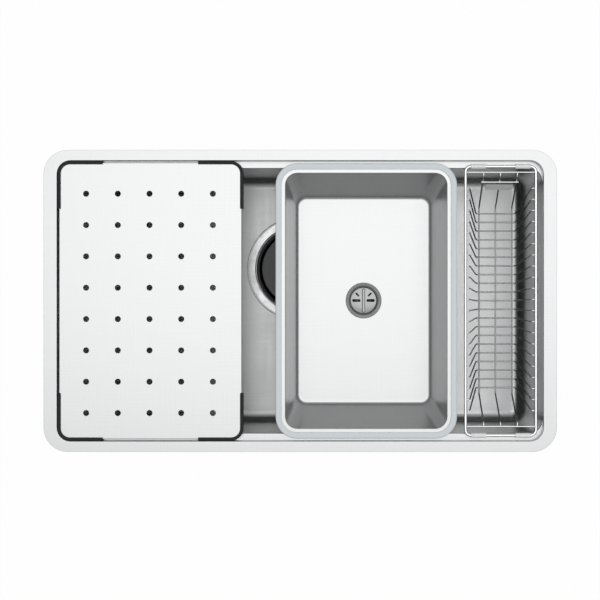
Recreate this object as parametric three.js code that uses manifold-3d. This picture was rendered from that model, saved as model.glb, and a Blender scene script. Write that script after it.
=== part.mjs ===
// Workstation kitchen sink: a drop-in steel bowl with two ledges that carry a draining tray,
// a rinsing basin and a dish rack, with its strainer drain and the clips that hold it down.
// Millimetres. +X right, +Y back, +Z up. The origin is the middle of the worktop cut-out,
// at the level of the worktop's surface.
import * as THREE from "three";
import { mergeVertices } from "three/addons/utils/BufferGeometryUtils.js";
import Module from "manifold-3d";

const wasm = await Module();
wasm.setup();

// ---------- driving dimensions ----------

const CLEAR = 0.3; // gap between pieces that lie against each other

// Bowl
const SINK_LENGTH = 850; // over the rim, along X
const SINK_WIDTH = 500; // over the rim, along Y
const RIM_CORNER = 40;
const RIM_END = 22; // flat band at the two ends
const RIM_LONG = 17.5; // flat band along front and back
const SHEET = 1.5; // bowl sheet
const RIM_LIP = 1.2; // how far the rim's edge turns down
const RECESS_CORNER = 21;
const LEDGE_DEPTH = 12; // ledges below the rim's top
const LEDGE_WIDTH = 12.5;
const BOWL_DEPTH = 230; // rim's top to floor
const BOWL_FILLET = 17;
const SEAL_HEIGHT = 1.2; // foam strip under the rim
const SEAL_WIDTH = 9;
const SEAL_INSET = 1; // seal inside the rim's turned-down edge

// Sound-deadening pads on the outside of the bowl
const PAD_THICKNESS = 2.5;
const PAD_TOP = 108; // below the rim's top
const PAD_FLOOR_MARGIN = 24; // a wall pad's lower edge above the floor
const PAD_END_MARGIN = 90; // from the bowl's corner to a wall pad
const FLOOR_PAD_MARGIN_X = 60;
const FLOOR_PAD_MARGIN_Y = 15;

// Hold-down clips
const CLIP_END_MARGIN = 135; // outer clips on the long sides, from the rim's ends
const CLIP_LEVEL = 62; // arm below the worktop's surface
const CLIP_LEG = 34;
const CLIP_WIDTH = 22;
const CLIP_THICKNESS = 2;
const CLIP_REACH = 7; // screw beyond the cut-out's edge
const CLIP_ARM_END = 6; // arm beyond the screw
const SCREW_RADIUS = 3;
const SCREW_TAIL = 10; // shank below the arm
const SCREW_HEAD_RADIUS = 6;
const SCREW_HEAD_HEIGHT = 4;
const SCREW_SLOT_WIDTH = 1.2;
const SCREW_SLOT_DEPTH = 1.5;
const SCREW_FOOT_RADIUS = 6;
const SCREW_FOOT_HEIGHT = 2;
const SCREW_FOOT_TAPER = 1;
const WORKTOP_THICKNESS = 30; // the thickness that the screws are drawn clamping
const CUTOUT_MARGIN = 1.5; // cut-out edge outside the recess wall

// Drain in the bowl
const DRAIN_X = -3.5; // centre, a little left of the middle of the bowl
const DRAIN_Y = 57; // and behind it
const FLANGE_WIDTH = 12.8; // throat to the flange's edge
const FLANGE_SHEET = 1.2;
const FLANGE_GAP = 2.2; // pressed seat beyond the flange
const FLANGE_SEAT = 3; // pressed seat below the floor
const FLANGE_BEVEL = 1.5;
const THROAT_RADIUS = 77.5;
const THROAT_BEVEL = 2;
const THROAT_DEPTH = 20;
const CUP_DEPTH = 60; // floor to the cup's bottom
const CUP_SHEET = 1.5;
const CUP_FALL = 4; // fall of the cup's bottom to its outlet
const CUP_ROOM_TOP = 1; // cup's wall to the basket, at the top and at the foot
const CUP_ROOM_FOOT = 2;
const OUTLET_RADIUS = 22.4;
const OUTLET_WALL = 1.5;
const OUTLET_LENGTH = 35;
const DRAIN_SEAL = 1.5; // rubber rings above and below the floor
const DRAIN_SEAL_INSET = 1; // rubber rings inside what they seal
const LOCK_RING_WIDTH = 21; // throat to the lugs' ends
const LOCK_RING_HEIGHT = 12;
const LUG_COUNT = 6;
const LUG_REACH = 6;
const LUG_WIDTH = 14;
const LUG_STEP = 2; // lug's top below the ring's top

// Strainer basket and its lid
const BASKET_PLAY = 0.6; // basket's rim to the throat
const BASKET_RIM_WIDTH = 4.9;
const BASKET_SHEET = 1;
const BASKET_TAPER = 5.5; // how much narrower its floor is than its top
const BASKET_DEPTH = 36;
const BASKET_HOLE = 3;
const BASKET_HOLE_EDGE = 10.5; // outer ring of holes from the floor's edge
const BASKET_RING_PITCH = 16;
const BASKET_RING_HOLES = [16, 11, 8]; // from the outer ring in
const POST_RADIUS = 4;
const POST_STEP = 5; // post's top below the lid's underside
const LID_GAP = 11.1; // throat to lid
const LID_EDGE = 0.6;
const LID_SHEET = 1.5;
const LID_SKIRT = 3.5;
const LID_LEVEL = 0.5; // lid's top above the bowl's floor
const SOCKET_LENGTH = 12;
const SOCKET_WALL = 1.5;
const SOCKET_ROOF = 1; // left above the socket
const KNOB_RADIUS = 12;
const KNOB_HEIGHT = 10;
const KNOB_PIN_STEP = 1.2; // knob's pin thinner than the post
const KNOB_FOOT_INSET = 3;
const KNOB_WAIST_INSET = 5;
const KNOB_CROWN = 2;
const KNOB_BEVEL = 1;

// Waste outlet
const NUT_HEIGHT = 22;
const NUT_WALL = 6.8;
const NUT_RIBS = 10;
const NUT_RIB = 2; // proud, sunk and half wide
const NUT_FLOOR = 3;
const WASHER_HEIGHT = 2;
const COLLAR_WIDTH = 3.9; // tailpiece's collar beyond its tube
const TAIL_WALL = 2;
const WASHER_INSET = 1;
const TAIL_LENGTH = 60;

// Draining tray
const TRAY_LENGTH = 303;
const TRAY_SHEET = 1.2;
const TRAY_SKIRT = 8;
const TRAY_SIDE_GAP = 0.8; // rubber corner to recess wall
const TRAY_CORNER = 18;
const HOLE_RADIUS = 4.75;
const HOLE_MARGIN = 40; // least, from a hole's centre to the plate's edge
const HOLE_PITCH_X = 52.5;
const HOLE_PITCH_Y = 51.9;
const HOLES_LEFT = 1.5; // the holes' middle left of the plate's
const HOLES_FORWARD = 4.1; // and in front of it
const GUARD_PROUD = 2.5;
const GUARD_OVER = 3; // lip that lies on the plate's edge
const GUARD_LIP = 1.2;
const GUARD_LEG_X = 75;
const GUARD_LEG_Y = 79;

// Rinsing basin
const BASIN_RACK_GAP = 12.1; // edge trim to the rack's frame
const BASIN_LENGTH = 301; // over its edge trim, along X
const BASIN_SIDE_GAP = 4.3; // edge trim to recess wall
const BASIN_CORNER = 36;
const TRIM_BAND = 10;
const TRIM_HEIGHT = 9.5;
const TRIM_LIP = 2; // trim above the basin's flange
const TRIM_WALL = 4;
const BASIN_MARGIN = 16.4; // outer edge to the basin's mouth
const BASIN_SHEET = 1;
const BASIN_DEPTH = 95; // flange to floor
const BASIN_DRAFT_X = 22.8; // mouth to floor, one side
const BASIN_DRAFT_Y = 35.8;
const BASIN_FLOOR_CORNER = 12;
const BASIN_FILLET = 9;

// Basin's own drain
const SMALL_THROAT = 23;
const SMALL_SHEET = 1.2;
const SMALL_FLANGE_WIDTH = 8; // throat to the flange's edge
const SMALL_FLANGE_BEVEL = 1;
const SMALL_FLANGE_DISH = 0.4;
const SMALL_THROAT_BEVEL = 2;
const SMALL_SEAT_WIDTH = 3;
const SMALL_SEAL = 1.5;
const SMALL_SEAT = 5; // plug seat below the basin's floor
const SMALL_DEPTH = 24;
const SMALL_OUTLET = 14;
const SMALL_NECK = 8; // height of the slope to the outlet
const SMALL_FALL = 2;
const SMALL_NUT_WALL = 9.5;
const SMALL_NUT_SIDES = 12;
const SMALL_NUT_HEIGHT = 7;
const PLUG_THICKNESS = 2.5;
const PLUG_BAR_WIDTH = 5;
const PLUG_BAR_HEIGHT = 5;
const PLUG_BAR_INSET = 2;
const PLUG_EDGE = 0.6;
const PLUG_SLOTS = [
  { angle: 0, from: 5, to: 19.5, width: 5 }, // out from the plug's centre
  { angle: 44, from: 10.5, to: 19, width: 3 },
  { angle: 136, from: 10.5, to: 19, width: 3 },
  { angle: 180, from: 5, to: 19.5, width: 5 },
];

// Dish rack
const RACK_WALL_GAP = 9.1; // frame rod to the recess's end wall
const RACK_ROD = 2.5; // frame rod radius
const RACK_WIRE = 1.25; // thin wire radius
const RACK_HALF_LENGTH = 58.4; // rod centres, along X
const RACK_END_GAP = 9.2; // end rod centre to recess wall
const RACK_CORNER = 9;
const RACK_DEPTH = 60; // rod centre to the wires' bottoms
const RACK_FOOT = 33.5; // half width of a wire's flat bottom
const RACK_BEND = 6;
const WIRE_MARGIN = 34; // least, from a wire's top to the frame's end
const WIRE_PITCH_TOP = 18.5;
const WIRE_TOPS_BACK = 2.4; // the wires' tops, behind the rack's middle
const WIRE_FLAT_MARGIN = 10.7; // last wire's bottom to the end of the runners' flat
const RUNNER_INSET = 5.5; // outer runner from the end of a wire's flat
const BACK_WIRE_INSET = 9.7; // end cross wire from the end rod, at the back and in front
const FRONT_WIRE_INSET = 14.8;
const RUNNER_RUN = 54.8; // length of a runner's back slope along Y
const WELD = 0.4; // how deep crossing wires sink into each other
const SLEEVE_WALL = 1.2;
const SLEEVE_LENGTH = 25;
const PLATE_WIDTH = 46;
const PLATE_HEIGHT = 12;
const PLATE_THICKNESS = 0.8;
const PLATE_PLACE = 0.385; // share of the way down the runner's end slope
const PLATE_WIRE_PLACE = 0.25;
const PLATE_WIRE_OVER = 3; // its ends beyond the outer runners

// Facets
const CORNER_STEPS = 6;
const FILLET_STEPS = 4;
const ROUND = 32;
const SMALL_ROUND = 16;
const HOLE_SIDES = 10;
const STRAINER_HOLE_SIDES = 6;
const SCREW_SIDES = 12;
const ROD_SIDES = 10;
const ROD_BEND_STEPS = 6;
const WIRE_SIDES = 6;
const WIRE_BEND_STEPS = 2;

const OVERCUT = 1; // how far a cut starts or ends beyond what it cuts

// ---------- levels and places worked out from them ----------

const rimUnder = SEAL_HEIGHT + CLEAR;
const rimTop = rimUnder + SHEET;
const ledgeTop = rimTop - LEDGE_DEPTH;
const floorTop = rimTop - BOWL_DEPTH;
const recessX = SINK_LENGTH / 2 - RIM_END;
const recessY = SINK_WIDTH / 2 - RIM_LONG;
const bowlY = recessY - LEDGE_WIDTH;
const rackHalfX = RACK_HALF_LENGTH + RACK_ROD;
const rackX = recessX - RACK_WALL_GAP - rackHalfX;
const basinHalfX = BASIN_LENGTH / 2;
const basinX = rackX - rackHalfX - BASIN_RACK_GAP - basinHalfX;

/** How many things fit along a length at a pitch, with one at each end. */
function fitting(length, pitch) {
  return Math.floor(length / pitch) + 1;
}

// ---------- solids ----------

/** A closed three.js geometry as a solid that can be joined and cut. */
function solid(geometry) {
  const bare = geometry.clone();
  bare.deleteAttribute("normal");
  bare.deleteAttribute("uv");
  const merged = mergeVertices(bare, 1e-4);
  return new wasm.Manifold(
    new wasm.Mesh({
      numProp: 3,
      vertProperties: merged.attributes.position.array,
      triVerts: new Uint32Array(merged.index.array),
    }),
  );
}

/** A solid as a three.js geometry. */
function geometryOf(shape) {
  const { vertProperties, triVerts } = shape.getMesh();
  const geometry = new THREE.BufferGeometry();
  geometry.setAttribute("position", new THREE.BufferAttribute(vertProperties, 3));
  geometry.setIndex(new THREE.BufferAttribute(triVerts, 1));
  geometry.computeVertexNormals();
  return geometry;
}

function join(shapes) {
  return shapes.reduce((whole, shape) => whole.add(shape));
}

/** A rounded rectangle as a ring of points at height z. */
function ring(halfX, halfY, corner, z) {
  const points = [];
  const quarters = [
    [1, 1, 0],
    [-1, 1, 1],
    [-1, -1, 2],
    [1, -1, 3],
  ];
  for (const [sideX, sideY, quarter] of quarters) {
    for (let step = 0; step <= CORNER_STEPS; step++) {
      const angle = (quarter + step / CORNER_STEPS) * (Math.PI / 2);
      const x = sideX * (halfX - corner) + corner * Math.cos(angle);
      const y = sideY * (halfY - corner) + corner * Math.sin(angle);
      points.push(new THREE.Vector3(x, y, z));
    }
  }
  return points;
}

/** A closed body through a stack of rings, the lowest first. */
function loft(rings) {
  const count = rings[0].length;
  const positions = rings.flat().flatMap((point) => point.toArray());
  const index = [];
  for (let level = 0; level + 1 < rings.length; level++) {
    for (let i = 0; i < count; i++) {
      const a = level * count + i;
      const b = level * count + ((i + 1) % count);
      index.push(a, b, b + count, a, b + count, a + count);
    }
  }
  const top = (rings.length - 1) * count;
  for (let i = 1; i + 1 < count; i++) {
    index.push(0, i + 1, i);
    index.push(top, top + i, top + i + 1);
  }
  const geometry = new THREE.BufferGeometry();
  geometry.setAttribute("position", new THREE.Float32BufferAttribute(positions, 3));
  geometry.setIndex(index);
  return solid(geometry);
}

/** A rounded block between two heights. */
function block(halfX, halfY, corner, low, high) {
  return loft([ring(halfX, halfY, corner, low), ring(halfX, halfY, corner, high)]);
}

/** A plain box from its lowest to its highest corner. */
function box(low, high) {
  const size = high.map((value, axis) => value - low[axis]);
  const geometry = new THREE.BoxGeometry(...size);
  geometry.translate(...low.map((value, axis) => value + size[axis] / 2));
  return solid(geometry);
}

/** An upright cylinder. */
function cylinder(radius, low, high, sides = ROUND) {
  const geometry = new THREE.CylinderGeometry(radius, radius, high - low, sides);
  geometry.rotateX(Math.PI / 2);
  geometry.translate(0, 0, (low + high) / 2);
  return solid(geometry);
}

/** A turned body: its section's [radius, height] points, anticlockwise, closed on itself. */
function turned(section, sides = ROUND) {
  const points = [...section, section[0]].map(([radius, z]) => new THREE.Vector2(radius, z));
  const geometry = new THREE.LatheGeometry(points, sides);
  geometry.rotateX(Math.PI / 2);
  return solid(geometry);
}

/** A flat ring between two radii and two heights. */
function washer(inner, outer, low, high, sides = ROUND) {
  return turned([[inner, low], [outer, low], [outer, high], [inner, high]], sides);
}

/** A bent rod's centre line: straight runs whose corners are rounded by an arc. */
class RodLine extends THREE.Curve {
  constructor(corners, bend, bendSteps, closed = false) {
    super();
    this.closed = closed;
    this.stops = [];
    const last = corners.length - 1;
    corners.forEach((corner, i) => {
      if (!closed && (i === 0 || i === last)) {
        this.stops.push(corner);
        return;
      }
      const before = corners[(i + last) % corners.length];
      const after = corners[(i + 1) % corners.length];
      this.stops.push(...RodLine.rounded(before, corner, after, bend, bendSteps));
    });
    if (closed) this.stops.push(this.stops[0]);
    this.steps = this.stops.length - 1;
  }

  static rounded(before, corner, after, bend, steps) {
    const back = before.clone().sub(corner).normalize();
    const ahead = after.clone().sub(corner).normalize();
    const half = back.angleTo(ahead) / 2;
    const middle = back.clone().add(ahead).normalize();
    const centre = corner.clone().addScaledVector(middle, bend / Math.sin(half));
    const start = corner.clone().addScaledVector(back, bend / Math.tan(half)).sub(centre);
    const axis = start.clone().cross(middle.clone().negate()).normalize();
    const sweep = Math.PI - 2 * half;
    return Array.from({ length: steps + 1 }, (_, i) =>
      start.clone().applyAxisAngle(axis, (sweep * i) / steps).add(centre),
    );
  }

  getPointAt(share) {
    return this.stops[Math.round(share * this.steps)].clone();
  }

  getTangentAt(share) {
    const i = Math.round(share * this.steps);
    const atEnd = i === this.steps;
    const atStart = i === 0;
    const before = atStart ? this.stops[this.closed ? this.steps - 1 : 0] : this.stops[i - 1];
    const after = atEnd ? this.stops[this.closed ? 1 : this.steps] : this.stops[i + 1];
    const here = this.stops[i];
    const into = here.clone().sub(before).normalize();
    const out = after.clone().sub(here).normalize();
    return into.add(out).normalize();
  }
}

/** A rod with two ends along a line. */
function rod(line, radius, sides) {
  const section = Array.from({ length: sides }, (_, i) => {
    const angle = (2 * Math.PI * i) / sides;
    return new THREE.Vector2(radius * Math.cos(angle), radius * Math.sin(angle));
  });
  const geometry = new THREE.ExtrudeGeometry(new THREE.Shape(section), {
    steps: line.steps,
    extrudePath: line,
    bevelEnabled: false,
  });
  return solid(geometry);
}

// ---------- materials ----------

function material(color, roughness, metalness) {
  return new THREE.MeshStandardMaterial({ color, roughness, metalness });
}

const steel = material(0xc9cbcd, 0.35, 0.9);
const brightSteel = material(0xe2e4e6, 0.2, 1);
const darkSteel = material(0x45474a, 0.4, 0.8);
const blackRubber = material(0x232425, 0.9, 0);
const greyPlastic = material(0xbcc5c9, 0.5, 0);
const blackPlastic = material(0x1c1d1f, 0.6, 0);
const clearPlastic = material(0xf1f3f2, 0.4, 0);
const zincSteel = material(0xa7abb0, 0.45, 0.8);
const padRubber = material(0x4c4e52, 0.95, 0);

const sink = new THREE.Group();

/** Adds one named piece to a group. */
function piece(group, name, shape, finish) {
  const mesh = new THREE.Mesh(geometryOf(shape), finish);
  mesh.name = name;
  group.add(mesh);
}

// ---------- bowl ----------

/** The rings of a deep pressing, outside or inside its sheet, from the floor up. */
function pressing(spec, offset, top) {
  const rings = [];
  const radius = spec.fillet + offset;
  for (let step = 0; step <= FILLET_STEPS; step++) {
    const angle = (Math.PI / 2) * (1 - step / FILLET_STEPS);
    const out = radius * Math.cos(angle);
    const z = spec.floor + spec.fillet - radius * Math.sin(angle);
    rings.push(ring(spec.floorX + out, spec.floorY + out, spec.floorCorner + out, z));
  }
  rings.push(ring(spec.mouthX + offset, spec.mouthY + offset, spec.mouthCorner + offset, top));
  return rings;
}

const bowlForm = {
  floor: floorTop,
  fillet: BOWL_FILLET,
  floorX: recessX - BOWL_FILLET,
  floorY: bowlY - BOWL_FILLET,
  floorCorner: RECESS_CORNER - BOWL_FILLET,
  mouthX: recessX,
  mouthY: bowlY,
  mouthCorner: RECESS_CORNER,
};

const flangeRadius = THROAT_RADIUS + FLANGE_WIDTH;
const seatRadius = flangeRadius + FLANGE_GAP;
const seatTop = floorTop - FLANGE_SEAT;
const seatUnder = seatTop - SHEET;
const throatOuter = THROAT_RADIUS + CUP_SHEET;
const floorHole = throatOuter + CLEAR;
const lockRingRadius = throatOuter + LOCK_RING_WIDTH;

/** Moves a shape made round the origin to the drain's centre. */
function atDrain(shape) {
  return shape.translate([DRAIN_X, DRAIN_Y, 0]);
}

function bowl() {
  const halfX = SINK_LENGTH / 2;
  const halfY = SINK_WIDTH / 2;
  const innerCorner = RIM_CORNER - SHEET;
  const rim = block(halfX, halfY, RIM_CORNER, rimUnder - RIM_LIP, rimTop).subtract(
    block(halfX - SHEET, halfY - SHEET, innerCorner, rimUnder - 2 * RIM_LIP, rimUnder),
  );
  const outer = RECESS_CORNER + SHEET;
  const tray = block(recessX + SHEET, recessY + SHEET, outer, ledgeTop - SHEET, rimUnder + SHEET / 2);
  const tub = loft(pressing(bowlForm, SHEET, ledgeTop - SHEET / 2));
  const seat = atDrain(cylinder(seatRadius + SHEET, seatUnder, floorTop - SHEET / 2));
  const recess = block(recessX, recessY, RECESS_CORNER, ledgeTop, rimTop + OVERCUT);
  const inside = loft(pressing(bowlForm, 0, rimTop + OVERCUT));
  const seatHollow = atDrain(cylinder(seatRadius, seatTop, floorTop + OVERCUT));
  const hole = atDrain(cylinder(floorHole, seatUnder - OVERCUT, floorTop + OVERCUT));
  return join([rim, tray, tub, seat])
    .subtract(recess)
    .subtract(inside)
    .subtract(seatHollow)
    .subtract(hole);
}

const sealEdge = SHEET + SEAL_INSET;
const sealX = SINK_LENGTH / 2 - sealEdge;
const sealY = SINK_WIDTH / 2 - sealEdge;
const sealCorner = RIM_CORNER - sealEdge;

function rimSeal() {
  const inner = sealCorner - SEAL_WIDTH;
  return block(sealX, sealY, sealCorner, 0, SEAL_HEIGHT).subtract(
    block(sealX - SEAL_WIDTH, sealY - SEAL_WIDTH, inner, -OVERCUT, SEAL_HEIGHT + OVERCUT),
  );
}

piece(sink, "sink_bowl", bowl(), steel);
piece(sink, "rim_seal", rimSeal(), blackRubber);

// ---------- sound-deadening pads ----------

const padHigh = rimTop - PAD_TOP;
const padLow = floorTop + PAD_FLOOR_MARGIN;
const wallX = recessX + SHEET + CLEAR;
const wallY = bowlY + SHEET + CLEAR;
const longPad = recessX - PAD_END_MARGIN;
const endPad = bowlY - PAD_END_MARGIN;

function floorPad() {
  const high = floorTop - SHEET - CLEAR;
  const halfX = bowlForm.floorX - FLOOR_PAD_MARGIN_X;
  const halfY = bowlForm.floorY - FLOOR_PAD_MARGIN_Y;
  const plate = block(halfX, halfY, RECESS_CORNER, high - PAD_THICKNESS, high);
  const round = lockRingRadius + PAD_THICKNESS;
  return plate.subtract(atDrain(cylinder(round, high - 2 * PAD_THICKNESS, high + OVERCUT)));
}

const wallPads = {
  front: [[-longPad, -wallY - PAD_THICKNESS, padLow], [longPad, -wallY, padHigh]],
  back: [[-longPad, wallY, padLow], [longPad, wallY + PAD_THICKNESS, padHigh]],
  left: [[-wallX - PAD_THICKNESS, -endPad, padLow], [-wallX, endPad, padHigh]],
  right: [[wallX, -endPad, padLow], [wallX + PAD_THICKNESS, endPad, padHigh]],
};
for (const [side, [low, high]] of Object.entries(wallPads)) {
  piece(sink, `sound_pad_${side}`, box(low, high), padRubber);
}
piece(sink, "sound_pad_floor", floorPad(), padRubber);

// ---------- hold-down clips ----------

/** A clip's bracket: it stands at the origin with its leg's back on x = 0 and its arm along +X. */
function clipBracket(screwAt) {
  const half = CLIP_WIDTH / 2;
  const arm = box([0, -half, -CLIP_THICKNESS], [screwAt + CLIP_ARM_END, half, 0]);
  const leg = box([0, -half, -CLIP_LEG], [CLIP_THICKNESS, half, -CLIP_THICKNESS / 2]);
  const hole = cylinder(SCREW_RADIUS + CLEAR, -CLIP_THICKNESS - OVERCUT, OVERCUT, SCREW_SIDES);
  return arm.add(leg).subtract(hole.translate([screwAt, 0, 0]));
}

/** A clip's screw on the Z axis: a foot under the worktop, a shank and a slotted head. */
function clipScrew() {
  const footTop = CLIP_LEVEL - WORKTOP_THICKNESS - CLEAR;
  const footLow = footTop - SCREW_FOOT_HEIGHT;
  const headTop = -CLIP_THICKNESS - SCREW_TAIL;
  const headLow = headTop - SCREW_HEAD_HEIGHT;
  const shank = turned(
    [
      [0, headLow],
      [SCREW_HEAD_RADIUS, headLow],
      [SCREW_HEAD_RADIUS, headTop],
      [SCREW_RADIUS, headTop],
      [SCREW_RADIUS, footLow - SCREW_FOOT_TAPER],
      [SCREW_FOOT_RADIUS, footLow],
      [SCREW_FOOT_RADIUS, footTop],
      [0, footTop],
    ],
    SCREW_SIDES,
  );
  const past = SCREW_HEAD_RADIUS + OVERCUT;
  const half = SCREW_SLOT_WIDTH / 2;
  const slot = box([-past, -half, headLow - OVERCUT], [past, half, headLow + SCREW_SLOT_DEPTH]);
  return shank.subtract(slot);
}

/** Places one clip: its foot on the wall at (x, y), its arm pointing out at an angle. */
function clip(number, x, y, degrees, wallToCutout) {
  const group = new THREE.Group();
  const screwAt = wallToCutout + CLIP_REACH;
  piece(group, `clip_bracket_${number}`, clipBracket(screwAt), zincSteel);
  piece(group, `clip_screw_${number}`, clipScrew().translate([screwAt, 0, 0]), zincSteel);
  group.position.set(x, y, -CLIP_LEVEL);
  group.rotation.z = THREE.MathUtils.degToRad(degrees);
  sink.add(group);
}

const cutoutX = recessX + SHEET + CUTOUT_MARGIN;
const cutoutY = recessY + SHEET + CUTOUT_MARGIN;
const outerClip = SINK_LENGTH / 2 - CLIP_END_MARGIN;
const clipSpots = [-outerClip, 0, outerClip];
clipSpots.forEach((x, i) => {
  clip(i + 1, x, -wallY, -90, cutoutY - wallY);
  clip(i + 1 + clipSpots.length, x, wallY, 90, cutoutY - wallY);
});
clip(2 * clipSpots.length + 1, -wallX, 0, 180, cutoutX - wallX);
clip(2 * clipSpots.length + 2, wallX, 0, 0, cutoutX - wallX);

// ---------- strainer drain ----------

const flangeUnder = seatTop + CLEAR + DRAIN_SEAL + CLEAR;
const flangeTop = flangeUnder + FLANGE_SHEET;
const basketSeat = floorTop - THROAT_DEPTH;
const basketRim = THROAT_RADIUS - BASKET_PLAY;
const basketTopRadius = basketRim - BASKET_RIM_WIDTH;
const basketFloorRadius = basketTopRadius - BASKET_TAPER;
const lowerTop = basketTopRadius + BASKET_SHEET + CUP_ROOM_TOP;
const lowerFoot = basketFloorRadius + BASKET_SHEET + CUP_ROOM_FOOT;
const cupFloor = floorTop - CUP_DEPTH;
const cupLow = cupFloor - CUP_FALL;
const outletOuter = OUTLET_RADIUS + OUTLET_WALL;
const outletEnd = cupFloor - OUTLET_LENGTH;
const underSealTop = seatUnder - CLEAR;
const lockRingTop = underSealTop - DRAIN_SEAL - CLEAR;

function drainCup() {
  return turned([
    [OUTLET_RADIUS, outletEnd],
    [outletOuter, outletEnd],
    [outletOuter, cupLow - CUP_SHEET],
    [lowerFoot + CUP_SHEET, cupFloor - CUP_SHEET],
    [lowerTop + CUP_SHEET, basketSeat - CUP_SHEET],
    [throatOuter, basketSeat - CUP_SHEET],
    [throatOuter, flangeUnder],
    [flangeRadius, flangeUnder],
    [flangeRadius, flangeTop - FLANGE_SHEET / 2],
    [flangeRadius - FLANGE_BEVEL, flangeTop],
    [THROAT_RADIUS + THROAT_BEVEL, flangeTop],
    [THROAT_RADIUS, flangeTop - THROAT_BEVEL],
    [THROAT_RADIUS, basketSeat],
    [lowerTop, basketSeat],
    [lowerFoot, cupFloor],
    [OUTLET_RADIUS, cupLow],
  ]);
}

function lockRing() {
  const low = lockRingTop - LOCK_RING_HEIGHT;
  const inner = throatOuter + CLEAR;
  const bandOuter = lockRingRadius - LUG_REACH;
  const half = LUG_WIDTH / 2;
  const lug = box([bandOuter - LUG_REACH, -half, low], [lockRingRadius, half, lockRingTop - LUG_STEP]);
  const lugs = Array.from({ length: LUG_COUNT }, (_, i) => lug.rotate([0, 0, (360 * i) / LUG_COUNT]));
  return join([washer(inner, bandOuter, low, lockRingTop), ...lugs]);
}

const drainSealInner = floorHole + DRAIN_SEAL_INSET;
const upperSealLow = seatTop + CLEAR;
const upperSeal = washer(
  drainSealInner,
  flangeRadius - DRAIN_SEAL_INSET,
  upperSealLow,
  upperSealLow + DRAIN_SEAL,
);
const lowerSeal = washer(drainSealInner, seatRadius, underSealTop - DRAIN_SEAL, underSealTop);
piece(sink, "drain_cup", atDrain(drainCup()), brightSteel);
piece(sink, "drain_seal_upper", atDrain(upperSeal), blackRubber);
piece(sink, "drain_seal_lower", atDrain(lowerSeal), blackRubber);
piece(sink, "drain_lock_ring", atDrain(lockRing()), blackPlastic);

// ---------- strainer basket and lid ----------

const basketRimLow = basketSeat + CLEAR;
const basketFloor = basketRimLow - BASKET_DEPTH;
const lidTop = floorTop + LID_LEVEL;
const lidUnder = lidTop - LID_SHEET;
const lidRadius = THROAT_RADIUS - LID_GAP;
const knobPin = POST_RADIUS - KNOB_PIN_STEP;
const postTop = lidUnder - POST_STEP;
const socketInner = POST_RADIUS + CLEAR;
const socketTop = lidUnder - SOCKET_ROOF;

function basket() {
  const low = basketFloor;
  const high = basketRimLow + BASKET_SHEET;
  const cup = turned([
    [0, low],
    [basketFloorRadius, low],
    [basketTopRadius, basketRimLow],
    [basketRim, basketRimLow],
    [basketRim, high],
    [basketTopRadius - BASKET_SHEET, high],
    [basketFloorRadius - BASKET_SHEET, low + BASKET_SHEET],
    [0, low + BASKET_SHEET],
  ]);
  const outerRing = basketFloorRadius - BASKET_HOLE_EDGE;
  const drillLow = low - OVERCUT;
  const drillHigh = low + BASKET_SHEET + OVERCUT;
  const holes = BASKET_RING_HOLES.flatMap((count, number) =>
    Array.from({ length: count }, (_, i) => {
      const hole = cylinder(BASKET_HOLE, drillLow, drillHigh, STRAINER_HOLE_SIDES);
      const atRing = hole.translate([outerRing - number * BASKET_RING_PITCH, 0, 0]);
      return atRing.rotate([0, 0, (360 * i) / count]);
    }),
  );
  const post = cylinder(POST_RADIUS, low + BASKET_SHEET / 2, postTop, SMALL_ROUND);
  return cup.subtract(join(holes)).add(post);
}

function lid() {
  const socketLow = lidUnder - SOCKET_LENGTH;
  const socketOuter = socketInner + SOCKET_WALL;
  return turned([
    [socketInner, socketLow],
    [socketOuter, socketLow],
    [socketOuter, lidUnder],
    [lidRadius - LID_SHEET, lidUnder],
    [lidRadius - LID_SHEET, lidUnder - LID_SKIRT],
    [lidRadius, lidUnder - LID_SKIRT],
    [lidRadius, lidTop - LID_EDGE],
    [lidRadius - LID_EDGE, lidTop],
    [knobPin + CLEAR, lidTop],
    [knobPin + CLEAR, socketTop],
    [socketInner, socketTop],
  ]);
}

function knob() {
  const low = lidTop + CLEAR;
  const high = low + KNOB_HEIGHT;
  return turned(
    [
      [0, socketTop],
      [knobPin, socketTop],
      [knobPin, low],
      [KNOB_RADIUS - KNOB_FOOT_INSET, low],
      [KNOB_RADIUS - KNOB_WAIST_INSET, low + KNOB_HEIGHT / 2],
      [KNOB_RADIUS, high - KNOB_CROWN],
      [KNOB_RADIUS - KNOB_BEVEL, high],
      [0, high],
    ],
    SMALL_ROUND,
  );
}

piece(sink, "strainer_basket", atDrain(basket()), darkSteel);
piece(sink, "strainer_lid", atDrain(lid()), darkSteel);
piece(sink, "strainer_knob", atDrain(knob()), darkSteel);

// ---------- waste outlet ----------

const washerHigh = outletEnd - CLEAR;
const washerLow = washerHigh - WASHER_HEIGHT;
const collarHigh = washerLow - CLEAR;
const collarLow = collarHigh - WASHER_HEIGHT;
const nutLow = collarLow - CLEAR - NUT_FLOOR;
const tailRadius = outletOuter - COLLAR_WIDTH;
const tailInner = tailRadius - TAIL_WALL;

function outletNut() {
  const bore = outletOuter + CLEAR;
  const outer = bore + NUT_WALL;
  const floorBore = tailRadius + CLEAR;
  const nutHigh = nutLow + NUT_HEIGHT;
  const body = turned([
    [floorBore, nutLow],
    [outer, nutLow],
    [outer, nutHigh],
    [bore, nutHigh],
    [bore, nutLow + NUT_FLOOR],
    [floorBore, nutLow + NUT_FLOOR],
  ]);
  const rib = box([outer - NUT_RIB, -NUT_RIB, nutLow], [outer + NUT_RIB, NUT_RIB, nutHigh - NUT_RIB]);
  const ribs = Array.from({ length: NUT_RIBS }, (_, i) => rib.rotate([0, 0, (360 * i) / NUT_RIBS]));
  return join([body, ...ribs]);
}

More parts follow.
